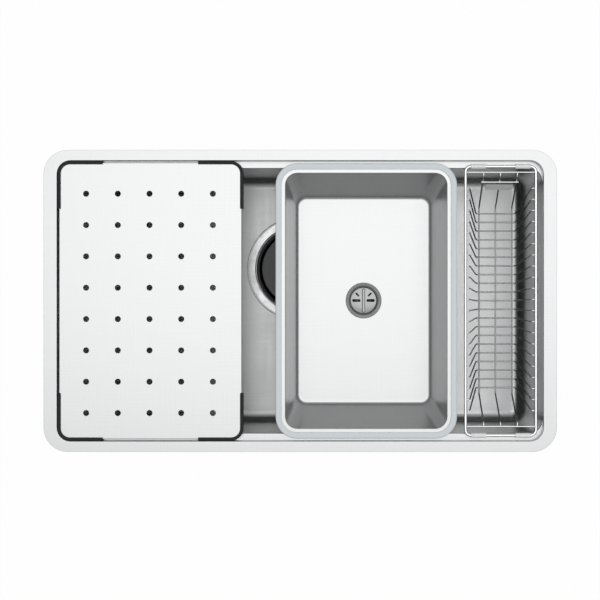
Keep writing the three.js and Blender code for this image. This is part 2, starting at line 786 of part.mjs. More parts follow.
function tailpiece() {
  return turned([
    [tailInner, collarLow - TAIL_LENGTH],
    [tailRadius, collarLow - TAIL_LENGTH],
    [tailRadius, collarLow],
    [outletOuter, collarLow],
    [outletOuter, collarHigh],
    [tailInner, collarHigh],
  ]);
}

const outletWasher = washer(tailInner + WASHER_INSET, outletOuter, washerLow, washerHigh);
piece(sink, "outlet_washer", atDrain(outletWasher), blackRubber);
piece(sink, "outlet_nut", atDrain(outletNut()), blackPlastic);
piece(sink, "tailpiece", atDrain(tailpiece()), blackPlastic);

// ---------- draining tray ----------

const trayHalfX = TRAY_LENGTH / 2;
const trayHalfY = recessY - TRAY_SIDE_GAP - GUARD_PROUD;
const trayX = -recessX + TRAY_SIDE_GAP + GUARD_PROUD + trayHalfX;
const guardTop = rimTop;
const trayTop = guardTop - GUARD_LIP - CLEAR;
const tray = new THREE.Group();
tray.position.x = trayX;
sink.add(tray);

function trayPlate() {
  const shell = block(trayHalfX, trayHalfY, TRAY_CORNER, trayTop - TRAY_SKIRT, trayTop);
  const inner = TRAY_CORNER - TRAY_SHEET;
  const under = trayTop - TRAY_SHEET;
  const hollow = block(
    trayHalfX - TRAY_SHEET,
    trayHalfY - TRAY_SHEET,
    inner,
    trayTop - TRAY_SKIRT - OVERCUT,
    under,
  );
  const columns = fitting(2 * (trayHalfX - HOLE_MARGIN - HOLES_LEFT), HOLE_PITCH_X);
  const rows = fitting(2 * (trayHalfY - HOLE_MARGIN - HOLES_FORWARD), HOLE_PITCH_Y);
  const holes = [];
  for (let column = 0; column < columns; column++) {
    for (let row = 0; row < rows; row++) {
      const x = (column - (columns - 1) / 2) * HOLE_PITCH_X - HOLES_LEFT;
      const y = (row - (rows - 1) / 2) * HOLE_PITCH_Y - HOLES_FORWARD;
      const hole = cylinder(HOLE_RADIUS, under - OVERCUT, trayTop + OVERCUT, HOLE_SIDES);
      holes.push(hole.translate([x, y, 0]));
    }
  }
  return shell.subtract(hollow).subtract(join(holes));
}

/** A rubber corner: a channel round the plate's edge, cut to two legs. */
function cornerGuard(sideX, sideY) {
  const low = ledgeTop + CLEAR;
  const outX = trayHalfX + GUARD_PROUD;
  const outY = trayHalfY + GUARD_PROUD;
  const outCorner = TRAY_CORNER + GUARD_PROUD;
  const inset = GUARD_PROUD + GUARD_OVER;
  const past = { low: low - OVERCUT, high: guardTop + OVERCUT };
  const band = block(outX, outY, outCorner, low, guardTop).subtract(
    block(outX - inset, outY - inset, outCorner - inset, past.low, past.high),
  );
  const slot = block(
    trayHalfX + CLEAR,
    trayHalfY + CLEAR,
    TRAY_CORNER + CLEAR,
    trayTop - TRAY_SKIRT - CLEAR,
    trayTop + CLEAR,
  );
  const span = (out, leg, side) => {
    const ends = [side * (out + OVERCUT), side * (out - leg)];
    return [Math.min(...ends), Math.max(...ends)];
  };
  const [lowX, highX] = span(outX, GUARD_LEG_X, sideX);
  const [lowY, highY] = span(outY, GUARD_LEG_Y, sideY);
  const corner = box([lowX, lowY, past.low], [highX, highY, past.high]);
  return band.subtract(slot).intersect(corner);
}

piece(tray, "tray_plate", trayPlate(), steel);
piece(tray, "tray_guard_back_left", cornerGuard(-1, 1), blackRubber);
piece(tray, "tray_guard_back_right", cornerGuard(1, 1), blackRubber);
piece(tray, "tray_guard_front_left", cornerGuard(-1, -1), blackRubber);
piece(tray, "tray_guard_front_right", cornerGuard(1, -1), blackRubber);

// ---------- rinsing basin ----------

const basinHalfY = recessY - BASIN_SIDE_GAP;
const trimLow = ledgeTop + CLEAR;
const trimTop = trimLow + TRIM_HEIGHT;
const basinFlangeTop = trimTop - TRIM_LIP - CLEAR;
const basinFloor = basinFlangeTop - BASIN_DEPTH;
const basinForm = {
  floor: basinFloor,
  fillet: BASIN_FILLET,
  floorX: basinHalfX - BASIN_MARGIN - BASIN_DRAFT_X,
  floorY: basinHalfY - BASIN_MARGIN - BASIN_DRAFT_Y,
  floorCorner: BASIN_FLOOR_CORNER,
  mouthX: basinHalfX - BASIN_MARGIN,
  mouthY: basinHalfY - BASIN_MARGIN,
  mouthCorner: BASIN_CORNER - BASIN_MARGIN,
};
const basin = new THREE.Group();
basin.position.x = basinX;
sink.add(basin);

const smallThroatOuter = SMALL_THROAT + SMALL_SHEET;

function basinTub() {
  const edge = TRIM_WALL + CLEAR;
  const flangeUnderside = basinFlangeTop - BASIN_SHEET;
  const flange = block(
    basinHalfX - edge,
    basinHalfY - edge,
    BASIN_CORNER - edge,
    flangeUnderside,
    basinFlangeTop,
  );
  const shell = loft(pressing(basinForm, BASIN_SHEET, basinFlangeTop - BASIN_SHEET / 2));
  const inside = loft([
    ...pressing(basinForm, 0, basinFlangeTop),
    ring(basinForm.mouthX, basinForm.mouthY, basinForm.mouthCorner, basinFlangeTop + OVERCUT),
  ]);
  const holeLow = basinFloor - BASIN_SHEET - OVERCUT;
  const hole = cylinder(smallThroatOuter + CLEAR, holeLow, basinFloor + OVERCUT);
  return flange.add(shell).subtract(inside).subtract(hole);
}

function basinTrim() {
  const inner = block(
    basinHalfX - TRIM_BAND,
    basinHalfY - TRIM_BAND,
    BASIN_CORNER - TRIM_BAND,
    trimLow - OVERCUT,
    trimTop + OVERCUT,
  );
  const slot = block(
    basinHalfX - TRIM_WALL,
    basinHalfY - TRIM_WALL,
    BASIN_CORNER - TRIM_WALL,
    basinFlangeTop - BASIN_SHEET - CLEAR,
    basinFlangeTop + CLEAR,
  );
  const band = block(basinHalfX, basinHalfY, BASIN_CORNER, trimLow, trimTop);
  return band.subtract(inner).subtract(slot);
}

const smallFlangeUnder = basinFloor + CLEAR;
const smallFlangeTop = smallFlangeUnder + SMALL_SHEET;
const smallSeat = basinFloor - SMALL_SEAT;
const smallSeatRadius = SMALL_THROAT - SMALL_SEAT_WIDTH;
const smallFlange = SMALL_THROAT + SMALL_FLANGE_WIDTH;
const smallEnd = basinFloor - SMALL_DEPTH;
const smallSealTop = basinFloor - BASIN_SHEET - CLEAR;
const smallNutTop = smallSealTop - SMALL_SEAL - CLEAR;

function smallCup() {
  const dish = smallFlangeTop - SMALL_FLANGE_DISH;
  return turned([
    [SMALL_OUTLET, smallEnd],
    [SMALL_OUTLET + SMALL_SHEET, smallEnd],
    [smallThroatOuter, smallEnd + SMALL_NECK],
    [smallThroatOuter, smallFlangeUnder],
    [smallFlange, smallFlangeUnder],
    [smallFlange - SMALL_FLANGE_BEVEL, smallFlangeTop],
    [SMALL_THROAT + SMALL_THROAT_BEVEL, dish],
    [SMALL_THROAT, dish - SMALL_THROAT_BEVEL],
    [SMALL_THROAT, smallSeat],
    [smallSeatRadius, smallSeat],
    [smallSeatRadius, smallEnd + SMALL_NECK],
    [SMALL_OUTLET, smallEnd + SMALL_FALL],
  ]);
}

function smallNut() {
  const low = smallNutTop - SMALL_NUT_HEIGHT;
  const bore = smallThroatOuter + CLEAR;
  const body = cylinder(bore + SMALL_NUT_WALL, low, smallNutTop, SMALL_NUT_SIDES);
  return body.subtract(cylinder(bore, low - OVERCUT, smallNutTop + OVERCUT));
}

/** The plug: a slotted disc with a bar to pull it by. */
function plug() {
  const low = smallSeat + CLEAR;
  const high = low + PLUG_THICKNESS;
  const radius = SMALL_THROAT - CLEAR;
  const disc = turned([
    [0, low],
    [radius, low],
    [radius, high - PLUG_EDGE],
    [radius - PLUG_EDGE, high],
    [0, high],
  ]);
  const reach = radius - PLUG_BAR_INSET;
  const half = PLUG_BAR_WIDTH / 2;
  const bar = box([-half, -reach, high - PLUG_EDGE], [half, reach, high + PLUG_BAR_HEIGHT]);
  const slots = PLUG_SLOTS.map(({ angle, from, to, width }) =>
    box([from, -width / 2, low - OVERCUT], [to, width / 2, high + OVERCUT]).rotate([0, 0, angle]),
  );
  return disc.add(bar).subtract(join(slots));
}

const smallSealLow = smallSealTop - SMALL_SEAL;
const smallSeal = washer(smallThroatOuter + CLEAR, smallFlange, smallSealLow, smallSealTop);
piece(basin, "basin_tub", basinTub(), steel);
piece(basin, "basin_edge_trim", basinTrim(), greyPlastic);
piece(basin, "basin_drain_cup", smallCup(), brightSteel);
piece(basin, "basin_drain_seal", smallSeal, blackRubber);
piece(basin, "basin_drain_nut", smallNut(), blackPlastic);
piece(basin, "basin_plug", plug(), brightSteel);

// ---------- dish rack ----------

const sleeveInner = RACK_ROD + CLEAR;
const sleeveRadius = sleeveInner + SLEEVE_WALL;
const rodLevel = ledgeTop + CLEAR + sleeveRadius;
const rackHalfY = recessY - RACK_END_GAP;
const wireBottom = rodLevel - RACK_DEPTH;
const wireTopX = RACK_HALF_LENGTH - RACK_ROD - CLEAR - RACK_WIRE;
const backWireY = rackHalfY - BACK_WIRE_INSET;
const frontWireY = -rackHalfY + FRONT_WIRE_INSET;
const runnerLevel = wireBottom - 2 * RACK_WIRE + WELD;
const runnerFlat = backWireY - RUNNER_RUN;
const outerRunner = RACK_FOOT - RUNNER_INSET;
const outerWire = fitting(rackHalfY - WIRE_MARGIN - WIRE_TOPS_BACK, WIRE_PITCH_TOP) - 1; // each side
const wireCount = 2 * outerWire + 1;
const wirePitchBottom = (runnerFlat - WIRE_FLAT_MARGIN) / outerWire;
const rack = new THREE.Group();
rack.position.x = rackX;
sink.add(rack);

function rackFrame() {
  const corners = [
    [RACK_HALF_LENGTH, rackHalfY],
    [-RACK_HALF_LENGTH, rackHalfY],
    [-RACK_HALF_LENGTH, -rackHalfY],
    [RACK_HALF_LENGTH, -rackHalfY],
  ].map(([x, y]) => new THREE.Vector3(x, y, rodLevel));
  const line = new RodLine(corners, RACK_CORNER, ROD_BEND_STEPS, true);
  return solid(new THREE.TubeGeometry(line, line.steps, RACK_ROD, ROD_SIDES, true));
}

/** One U-shaped cross wire; the outer ones lean in towards their bottoms. */
function crossWire(number) {
  const place = number - outerWire;
  const top = place * WIRE_PITCH_TOP + WIRE_TOPS_BACK;
  const bottom = place * wirePitchBottom;
  const corners = [
    new THREE.Vector3(-wireTopX, top, rodLevel),
    new THREE.Vector3(-RACK_FOOT, bottom, wireBottom),
    new THREE.Vector3(RACK_FOOT, bottom, wireBottom),
    new THREE.Vector3(wireTopX, top, rodLevel),
  ];
  return rod(new RodLine(corners, RACK_BEND, WIRE_BEND_STEPS), RACK_WIRE, WIRE_SIDES);
}

function runner(x) {
  const corners = [
    new THREE.Vector3(x, backWireY, rodLevel),
    new THREE.Vector3(x, runnerFlat, runnerLevel),
    new THREE.Vector3(x, -runnerFlat, runnerLevel),
    new THREE.Vector3(x, frontWireY, rodLevel),
  ];
  return rod(new RodLine(corners, RACK_BEND, WIRE_BEND_STEPS), RACK_WIRE, WIRE_SIDES);
}

function endWire(y) {
  const past = Math.max(0, Math.abs(y) + RACK_WIRE - (rackHalfY - RACK_CORNER));
  const cornerBite = RACK_CORNER - Math.sqrt(RACK_CORNER ** 2 - past ** 2);
  const reach = RACK_HALF_LENGTH - RACK_ROD - CLEAR - cornerBite;
  const ends = [-reach, reach].map((x) => new THREE.Vector3(x, y, rodLevel));
  return rod(new RodLine(ends, 0, 0), RACK_WIRE, WIRE_SIDES);
}

/** The short wire that lies on the runners' back slope, over the plate. */
function plateWire() {
  const fall = rodLevel - runnerLevel;
  const slope = Math.hypot(RUNNER_RUN, fall);
  const lift = 2 * RACK_WIRE - WELD;
  const y = backWireY - RUNNER_RUN * PLATE_WIRE_PLACE - (lift * fall) / slope;
  const z = rodLevel - fall * PLATE_WIRE_PLACE + (lift * RUNNER_RUN) / slope;
  const reach = outerRunner + PLATE_WIRE_OVER;
  const ends = [-reach, reach].map((x) => new THREE.Vector3(x, y, z));
  return rod(new RodLine(ends, 0, 0), RACK_WIRE, WIRE_SIDES);
}

function rackBasket() {
  const wires = Array.from({ length: wireCount }, (_, i) => crossWire(i));
  return join([
    ...[-outerRunner, 0, outerRunner].map(runner),
    endWire(backWireY),
    endWire(frontWireY),
    plateWire(),
    ...wires,
  ]);
}

/** The bare plate on the back slope of the runners, inside the rack. */
function rackPlate() {
  const fall = rodLevel - runnerLevel;
  const geometry = new THREE.BoxGeometry(PLATE_WIDTH, PLATE_THICKNESS, PLATE_HEIGHT);
  geometry.translate(0, -RACK_WIRE - CLEAR - PLATE_THICKNESS / 2, 0);
  geometry.rotateX(-Math.atan2(RUNNER_RUN, fall));
  geometry.translate(0, backWireY - RUNNER_RUN * PLATE_PLACE, rodLevel - fall * PLATE_PLACE);
  return solid(geometry);
}

function rackSleeve(sideX, sideY) {
  const tube = washer(sleeveInner, sleeveRadius, 0, SLEEVE_LENGTH, SMALL_ROUND);
  const end = RACK_HALF_LENGTH - RACK_CORNER;
  const start = sideX > 0 ? end - SLEEVE_LENGTH : -end;
  return tube.rotate([0, 90, 0]).translate([start, sideY * rackHalfY, rodLevel]);
}

piece(rack, "rack_frame", rackFrame(), brightSteel);
piece(rack, "rack_wires", rackBasket(), brightSteel);
piece(rack, "rack_plate", rackPlate(), brightSteel);
piece(rack, "rack_sleeve_back_left", rackSleeve(-1, 1), clearPlastic);
piece(rack, "rack_sleeve_back_right", rackSleeve(1, 1), clearPlastic);
piece(rack, "rack_sleeve_front_left", rackSleeve(-1, -1), clearPlastic);
piece(rack, "rack_sleeve_front_right", rackSleeve(1, -1), clearPlastic);

export default sink;
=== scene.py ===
# %% [markdown]
# # A workstation kitchen sink
# This lesson dresses a kitchen sink that was first drawn as plain solids. The solids keep its
# sizes and its moving parts. Here each part that shows gets its smooth bends, small radii and
# finish. Lengths are metres: +X is right, +Y is back, +Z is up, and z = 0 is the worktop.

# %% The solids that carry everything
import math

import bpy
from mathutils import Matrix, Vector


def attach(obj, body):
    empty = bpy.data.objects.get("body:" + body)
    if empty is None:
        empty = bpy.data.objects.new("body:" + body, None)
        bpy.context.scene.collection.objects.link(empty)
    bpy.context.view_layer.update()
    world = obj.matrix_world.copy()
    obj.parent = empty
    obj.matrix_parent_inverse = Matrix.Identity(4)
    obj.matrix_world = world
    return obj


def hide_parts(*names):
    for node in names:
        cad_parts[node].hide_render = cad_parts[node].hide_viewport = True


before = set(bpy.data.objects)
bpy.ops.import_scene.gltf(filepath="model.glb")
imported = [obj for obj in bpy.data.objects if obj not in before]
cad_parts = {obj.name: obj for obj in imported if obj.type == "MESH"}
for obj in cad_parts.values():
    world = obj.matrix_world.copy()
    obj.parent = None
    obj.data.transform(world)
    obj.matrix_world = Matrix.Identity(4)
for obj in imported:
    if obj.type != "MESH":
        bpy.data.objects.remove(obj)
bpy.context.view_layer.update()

# %% [markdown]
# ## Working by place
# In edit mode an operator acts on all that is selected. With a mouse the edges are clicked. In
# a script they are found by where they lie, so every step below starts with a pick. The pick
# tests the middle of each edge or face, and its direction, and can keep to the open borders.

# %% Picking edges and faces by their place
same_spot = 0.00001


def rest():
    """Leaves edit mode with nothing selected."""
    if bpy.context.object and bpy.context.object.mode == "EDIT":
        bpy.ops.object.mode_set(mode="OBJECT")
    bpy.ops.object.select_all(action="DESELECT")


def take(part):
    """Makes one part the only selected and active one."""
    rest()
    part.select_set(True)
    bpy.context.view_layer.objects.active = part


def pick(kind, test, border=False):
    """In edit mode, selects the vertices, edges or faces that pass a test of place and direction."""
    bpy.ops.mesh.select_mode(type=kind)
    bpy.ops.mesh.select_all(action="DESELECT")
    if border:
        bpy.ops.mesh.select_non_manifold(
            extend=False, use_multi_face=False, use_non_contiguous=False, use_verts=False
        )
    else:
        bpy.ops.mesh.select_all(action="SELECT")
    bpy.ops.object.mode_set(mode="OBJECT")
    mesh = bpy.context.object.data
    points = [vertex.co.copy() for vertex in mesh.vertices]
    if kind == "FACE":
        found = [(face, face.center, face.normal) for face in mesh.polygons]
    elif kind == "EDGE":
        ends = [(edge, points[edge.vertices[0]], points[edge.vertices[1]]) for edge in mesh.edges]
        found = [(edge, (a + b) / 2, (b - a).normalized()) for edge, a, b in ends]
    else:
        found = [(vertex, vertex.co, vertex.normal) for vertex in mesh.vertices]
    chosen = [element for element, place, way in found if element.select and test(place, way)]
    for group in (mesh.vertices, mesh.edges, mesh.polygons):
        group.foreach_set("select", [False] * len(group))
    for element in chosen:
        element.select = True
    bpy.ops.object.mode_set(mode="EDIT")
    return len(chosen)


def near(value, target, slack=0.0002):
    """Whether a number is within a slack of another."""
    return abs(value - target) < slack


def level_way(way):
    """Whether an edge lies level."""
    return abs(way.z) < 0.1


def spots(test):
    """In edit mode, the places of the vertices that pass a test of place."""
    bpy.ops.object.mode_set(mode="OBJECT")
    found = [vertex.co.copy() for vertex in bpy.context.object.data.vertices if test(vertex.co)]
    bpy.ops.object.mode_set(mode="EDIT")
    return found


print("picking is ready")

# %% [markdown]
# ## Moves that every sheet part needs
# A pressed part starts as a flat blank with round corners. It is drawn down by extruding, and
# its bends are bevelled. A blank could also be a curve, but a bevelled plane keeps its edges
# countable, so they can be picked again later.

# %% Blanks, draws and bends
def blank(name, half_x, half_y, corner, level, x=0.0, steps=10):
    """A flat rounded rectangle, in edit mode, with its one face selected."""
    rest()
    bpy.ops.mesh.primitive_plane_add(size=2)
    part = bpy.context.object
    part.name = name
    bpy.ops.object.mode_set(mode="EDIT")
    bpy.ops.transform.resize(value=(half_x, half_y, 1))
    bpy.ops.transform.translate(value=(x, 0, level))
    bpy.ops.mesh.bevel(offset=corner, segments=steps, affect="VERTICES")
    bpy.ops.mesh.select_mode(type="FACE")
    bpy.ops.mesh.select_all(action="SELECT")
    return part


def draw(x=0.0, y=0.0, z=0.0):
    """Pulls new material out of what is selected."""
    bpy.ops.mesh.extrude_region_move(TRANSFORM_OT_translate={"value": (x, y, z)})


def bend(radius, steps=4):
    """Rounds the selected edges."""
    bpy.ops.mesh.bevel(offset=radius, segments=steps, affect="EDGES", clamp_overlap=False)


def weld(gap=0.00002):
    """Merges vertices that lie on each other."""
    bpy.ops.mesh.select_all(action="SELECT")
    bpy.ops.mesh.remove_doubles(threshold=gap)


def facing_out():
    """Turns every face of a closed part outwards."""
    weld()
    bpy.ops.mesh.normals_make_consistent(inside=False)


def facing_up(level):
    """Turns an open sheet's flat top up: that side stays put when the sheet is thickened."""
    bpy.ops.mesh.select_all(action="SELECT")
    bpy.ops.mesh.normals_make_consistent(inside=False)
    if pick("FACE", lambda place, way: near(place.z, level) and way.z < -0.9):
        bpy.ops.mesh.select_all(action="SELECT")
        bpy.ops.mesh.flip_normals()


def hollow_middle(x):
    """Takes out the one face that lies round a middle, and selects what is left."""
    pick("FACE", lambda place, way: abs(place.y) < 0.01 and abs(place.x - x) < 0.01)
    bpy.ops.mesh.delete(type="FACE")
    bpy.ops.mesh.select_all(action="SELECT")


print("blanks can be drawn and bent")

# %% [markdown]
# A part is worked on with modifiers that are applied at once, so that what is picked next is
# really there. What repeats is modelled once as a pattern and copied, each copy with a mesh of
# its own.

# %% Modifiers, cuts and copies
def modify(part, kind, **settings):
    """Adds a modifier to a part and applies it."""
    take(part)
    modifier = part.modifiers.new(kind.title(), kind)
    for key, value in settings.items():
        setattr(modifier, key, value)
    bpy.ops.object.modifier_apply(modifier=modifier.name)


def cut(part, cutter):
    """Takes a cutter's shape out of a part and throws the cutter away."""
    modify(part, "BOOLEAN", object=cutter, operation="DIFFERENCE", solver="EXACT")
    bpy.data.objects.remove(cutter)


def joined(parts, name):
    """Makes several parts one."""
    rest()
    for part in parts:
        part.select_set(True)
    bpy.context.view_layer.objects.active = parts[0]
    bpy.ops.object.join()
    parts[0].name = name
    return parts[0]


def copy_of(part, name):
    """A copy with its own mesh, made once edit mode has given the mesh back."""
    rest()
    again = part.copy()
    again.data = part.data.copy()
    again.name = name
    bpy.context.scene.collection.objects.link(again)
    return again


def settle(part):
    """Puts a part's place into its mesh."""
    take(part)
    bpy.ops.object.transform_apply(location=True, rotation=True, scale=True)


def evenly(count):
    """The turns that spread copies evenly round a middle."""
    return [number * math.tau / count for number in range(count)]


def copies_at(pattern, places):
    """Copies of a pattern at places of (x, y, turn), joined. The pattern is thrown away."""
    copies = []
    for x, y, turn in places:
        again = copy_of(pattern, pattern.name + "_copy")
        again.rotation_euler.z = turn
        again.location = (x, y, 0)
        settle(again)
        copies.append(again)
    bpy.data.objects.remove(pattern)
    return joined(copies, "copies")


print("parts can be cut and copied")

# %% [markdown]
# ## Finishes
# Each finish is built from Blender's own textures, read at the part's own coordinates, so
# nothing is painted from a picture. A picture of steel would carry its own light with it. Fine
# stretched noise is what a brush leaves on steel: long scratches one way, and on this sink a
# second, fainter set across them.

# %% A finish and its grain
grain_low, grain_high = 0.3, 0.7


def tree(made):
    """The nodes and the links of a finish or a sky."""
    return made.node_tree.nodes, made.node_tree.links


def finish(name, colour, roughness, metallic=0.0):
    """A plain finish, whose colour and roughness the grain below then varies."""
    made = bpy.data.materials.new(name)
    made.use_nodes = True
    shader = made.node_tree.nodes["Principled BSDF"]
    shader.inputs["Base Color"].default_value = (*colour, 1)
    shader.inputs["Roughness"].default_value = roughness
    shader.inputs["Metallic"].default_value = metallic
    return made


def grain(made, size=1.0, detail=4.0, stretch=(1, 1, 1)):
    """Noise on the part's own coordinates, stretched along an axis. Returns its output."""
    nodes, links = tree(made)
    place = nodes.new("ShaderNodeTexCoord")
    mapping = nodes.new("ShaderNodeMapping")
    mapping.inputs["Scale"].default_value = stretch
    noise = nodes.new("ShaderNodeTexNoise")
    noise.inputs["Scale"].default_value = size
    noise.inputs["Detail"].default_value = detail
    links.new(place.outputs["Object"], mapping.inputs["Vector"])
    links.new(mapping.outputs["Vector"], noise.inputs["Vector"])
    return noise.outputs["Fac"]


def mean(made, first, second):
    """The middle of two grains."""
    nodes, links = tree(made)
    mix = nodes.new("ShaderNodeMix")
    mix.inputs["Factor"].default_value = 0.5
    links.new(first, mix.inputs["A"])
    links.new(second, mix.inputs["B"])
    return mix.outputs["Result"]


def times(tone, factor):
    """A tone made lighter or darker."""
    return [channel * factor for channel in tone]


print("a finish can have a grain")

# %% What a grain can do to a finish
def vary(made, source, socket, low, high):
    """Lets a grain move a number of the finish between two values."""
    nodes, links = tree(made)
    spread = nodes.new("ShaderNodeMapRange")
    spread.inputs["From Min"].default_value = grain_low
    spread.inputs["From Max"].default_value = grain_high
    spread.inputs["To Min"].default_value = low
    spread.inputs["To Max"].default_value = high
    links.new(source, spread.inputs["Value"])
    links.new(spread.outputs["Result"], nodes["Principled BSDF"].inputs[socket])


def tint(made, source, low, high):
    """Lets a grain move the colour between two."""
    nodes, links = tree(made)
    ramp = nodes.new("ShaderNodeValToRGB")
    ramp.color_ramp.elements[0].position = grain_low
    ramp.color_ramp.elements[0].color = (*low, 1)
    ramp.color_ramp.elements[1].position = grain_high
    ramp.color_ramp.elements[1].color = (*high, 1)
    links.new(source, ramp.inputs["Fac"])
    links.new(ramp.outputs["Color"], nodes["Principled BSDF"].inputs["Base Color"])


def relief(made, source, height, strength):
    """Lets a grain raise the surface by a height in metres."""
    nodes, links = tree(made)
    bump = nodes.new("ShaderNodeBump")
    bump.inputs["Distance"].default_value = height
    bump.inputs["Strength"].default_value = strength
    links.new(source, bump.inputs["Height"])
    links.new(bump.outputs["Normal"], nodes["Principled BSDF"].inputs["Normal"])


print("finishes can be mixed")

# %% [markdown]
# The big sheets are brushed stainless steel. Its scratches lie mostly along the sink, with a
# crossing set. Both widen the highlight a little and leave a faint plaid.

# %% Brushed steel
scratches_along, scratches_across = (9, 420, 420), (420, 9, 60)
scratch_depth, scratch_strength = 0.00004, 0.35


def brushed(name, tone, roughness):
    """Steel with scratches along it and a fainter set across."""
    made = finish(name, tone, roughness, 1.0)
    along = grain(made, stretch=scratches_along)
    across = grain(made, stretch=scratches_across)
    plaid = mean(made, along, across)
    tint(made, plaid, times(tone, 0.93), times(tone, 1.05))
    vary(made, plaid, "Roughness", roughness * 0.86, roughness * 1.16)
    relief(made, plaid, scratch_depth, scratch_strength)
    return made


brushed_steel = brushed("brushed_steel", (0.555, 0.56, 0.563), 0.33)
plate_steel = brushed("plate_steel", (0.56, 0.565, 0.567), 0.32)
print("brushed steel:", brushed_steel.name, plate_steel.name)

# %% [markdown]
# The rack's rod, the drain rings and the plug are polished. Polished steel is never perfect: a
# faint cloud of roughness keeps its reflections from looking like glass. The rod's tone is a
# painted highlight, lighter than any steel, and the small drain ring and the plug are painted
# shade, darker than the steel really is.

# %% Polished steel
def polished(name, tone, roughness):
    """Steel with a faint cloud of roughness."""
    made = finish(name, tone, roughness, 1.0)
    cloud = grain(made, 60)
    tint(made, cloud, times(tone, 0.95), tone)
    vary(made, cloud, "Roughness", roughness * 0.8, roughness * 1.3)
    return made


flange_steel = polished("flange_steel", (0.58, 0.585, 0.59), 0.24)
# painted highlight: the rod's tone is lighter than real steel
rod_steel_painted_highlight = polished("rod_steel_painted_highlight", (0.96, 0.965, 0.97), 0.24)
# painted shade: the small drain ring and the plug are darker than their steel really is
ring_steel_painted_shade = polished("ring_steel_painted_shade", (0.16, 0.164, 0.164), 0.32)
plug_steel_painted_shade = polished("plug_steel_painted_shade", (0.31, 0.315, 0.315), 0.26)
print("polished steel:", flange_steel.name, rod_steel_painted_highlight.name)

# %% [markdown]
# Deep in the bowl the thin wires have little light to mirror, and look darker than at the rim.
# That shade is painted into the colour: the height of each spot sets its tone, darker towards
# the bottom, so one finish serves the whole wire.

# %% The thin wires' steel, with painted shade towards the bottom
wire_dark_level, wire_light_level = -0.034, -0.012
wire_steel = finish("wire_steel", (0.8, 0.8, 0.8), 0.22, 1.0)
wire_nodes, wire_links = tree(wire_steel)
wire_place = wire_nodes.new("ShaderNodeTexCoord")
wire_axes = wire_nodes.new("ShaderNodeSeparateXYZ")
wire_shade_by_height = wire_nodes.new("ShaderNodeMapRange")
wire_shade_by_height.inputs["From Min"].default_value = wire_dark_level
wire_shade_by_height.inputs["From Max"].default_value = wire_light_level
wire_links.new(wire_place.outputs["Object"], wire_axes.inputs["Vector"])
wire_links.new(wire_axes.outputs["Z"], wire_shade_by_height.inputs["Value"])
# painted shade: the wire's colour darkens towards the bottom of the rack
tint(wire_steel, wire_shade_by_height.outputs["Result"], (0.40, 0.40, 0.405), (0.90, 0.91, 0.92))
vary(wire_steel, grain(wire_steel, 400), "Roughness", 0.18, 0.32)
print("wire finish:", wire_steel.name)

# %% [markdown]
# The small plate is satin, the clips are zinc with its grown crystals, and the lid has a dark
# powdery coat. Each has a finer or coarser grain of its own.

# %% Satin, zinc and dark coat
badge_steel = finish("badge_steel", (0.75, 0.75, 0.75), 0.45, 0.3)
badge_cloud = grain(badge_steel, 300)
tint(badge_steel, badge_cloud, (0.70, 0.70, 0.70), (0.80, 0.80, 0.80))
vary(badge_steel, badge_cloud, "Roughness", 0.38, 0.52)

zinc_plate = finish("zinc_plate", (0.55, 0.57, 0.60), 0.38, 1.0)
spangle = grain(zinc_plate, 500, 2)
tint(zinc_plate, spangle, (0.45, 0.47, 0.51), (0.66, 0.67, 0.68))
vary(zinc_plate, spangle, "Roughness", 0.28, 0.5)

dark_coat = finish("dark_coat", (0.13, 0.132, 0.136), 0.42, 0.6)
coat_grain = grain(dark_coat, 900, 3)
tint(dark_coat, coat_grain, (0.120, 0.122, 0.126), (0.150, 0.152, 0.156))
vary(dark_coat, coat_grain, "Roughness", 0.34, 0.5)
relief(dark_coat, coat_grain, 0.00003, 0.3)
print("other metal:", badge_steel.name, zinc_plate.name, dark_coat.name)

# %% [markdown]
# Rubber and moulded plastic hardly mirror. A fine pebble in the relief and a small change of
# tone are what show that they are moulded. The sleeves let a little light through.

# %% Rubber and plastic
def moulded(name, tone, roughness, pebble, height):
    """A soft finish with a fine pebble."""
    made = finish(name, tone, roughness)
    skin = grain(made, pebble, 3)
    tint(made, skin, times(tone, 0.85), times(tone, 1.12))
    vary(made, skin, "Roughness", roughness * 0.85, min(1, roughness * 1.15))
    relief(made, skin, height, 0.4)
    return made


black_rubber = moulded("black_rubber", (0.014, 0.014, 0.015), 0.8, 1400, 0.00005)
black_plastic = moulded("black_plastic", (0.028, 0.028, 0.030), 0.42, 900, 0.00003)
pad_rubber = moulded("pad_rubber", (0.075, 0.078, 0.083), 0.8, 500, 0.00015)
trim_plastic = moulded("trim_plastic", (0.72, 0.785, 0.815), 0.5, 1200, 0.00003)
sleeve_plastic = moulded("sleeve_plastic", (0.94, 0.945, 0.94), 0.3, 700, 0.00002)
sleeve_shader = sleeve_plastic.node_tree.nodes["Principled BSDF"]
sleeve_shader.inputs["Transmission Weight"].default_value = 0.04
sleeve_shader.inputs["IOR"].default_value = 1.45
print("soft finishes:", black_rubber.name, trim_plastic.name, sleeve_plastic.name)

# %% [markdown]
# ## Closing a part
# A finished part lies at the origin with its place in its mesh. Soft shading is limited by
# angle, and the normals are weighted by area, so that a large flat face next to a small bend
# stays flat in its reflections.

# %% Closing a part
def close(part, body, stands_for, made, angle=40):
    """Shades a part, gives it its finish and lets it ride on the solids' body."""
    take(part)
    bpy.ops.object.shade_smooth_by_angle(angle=math.radians(angle))
    modify(part, "WEIGHTED_NORMAL", keep_sharp=True)
    part.data.materials.clear()
    part.data.materials.append(made)
    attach(part, body)
    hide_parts(*stands_for)
    rest()
    sides = [round(1000 * side, 1) for side in part.dimensions]
    print(part.name, "mm:", sides, "faces:", len(part.data.polygons))


print("parts can be closed")

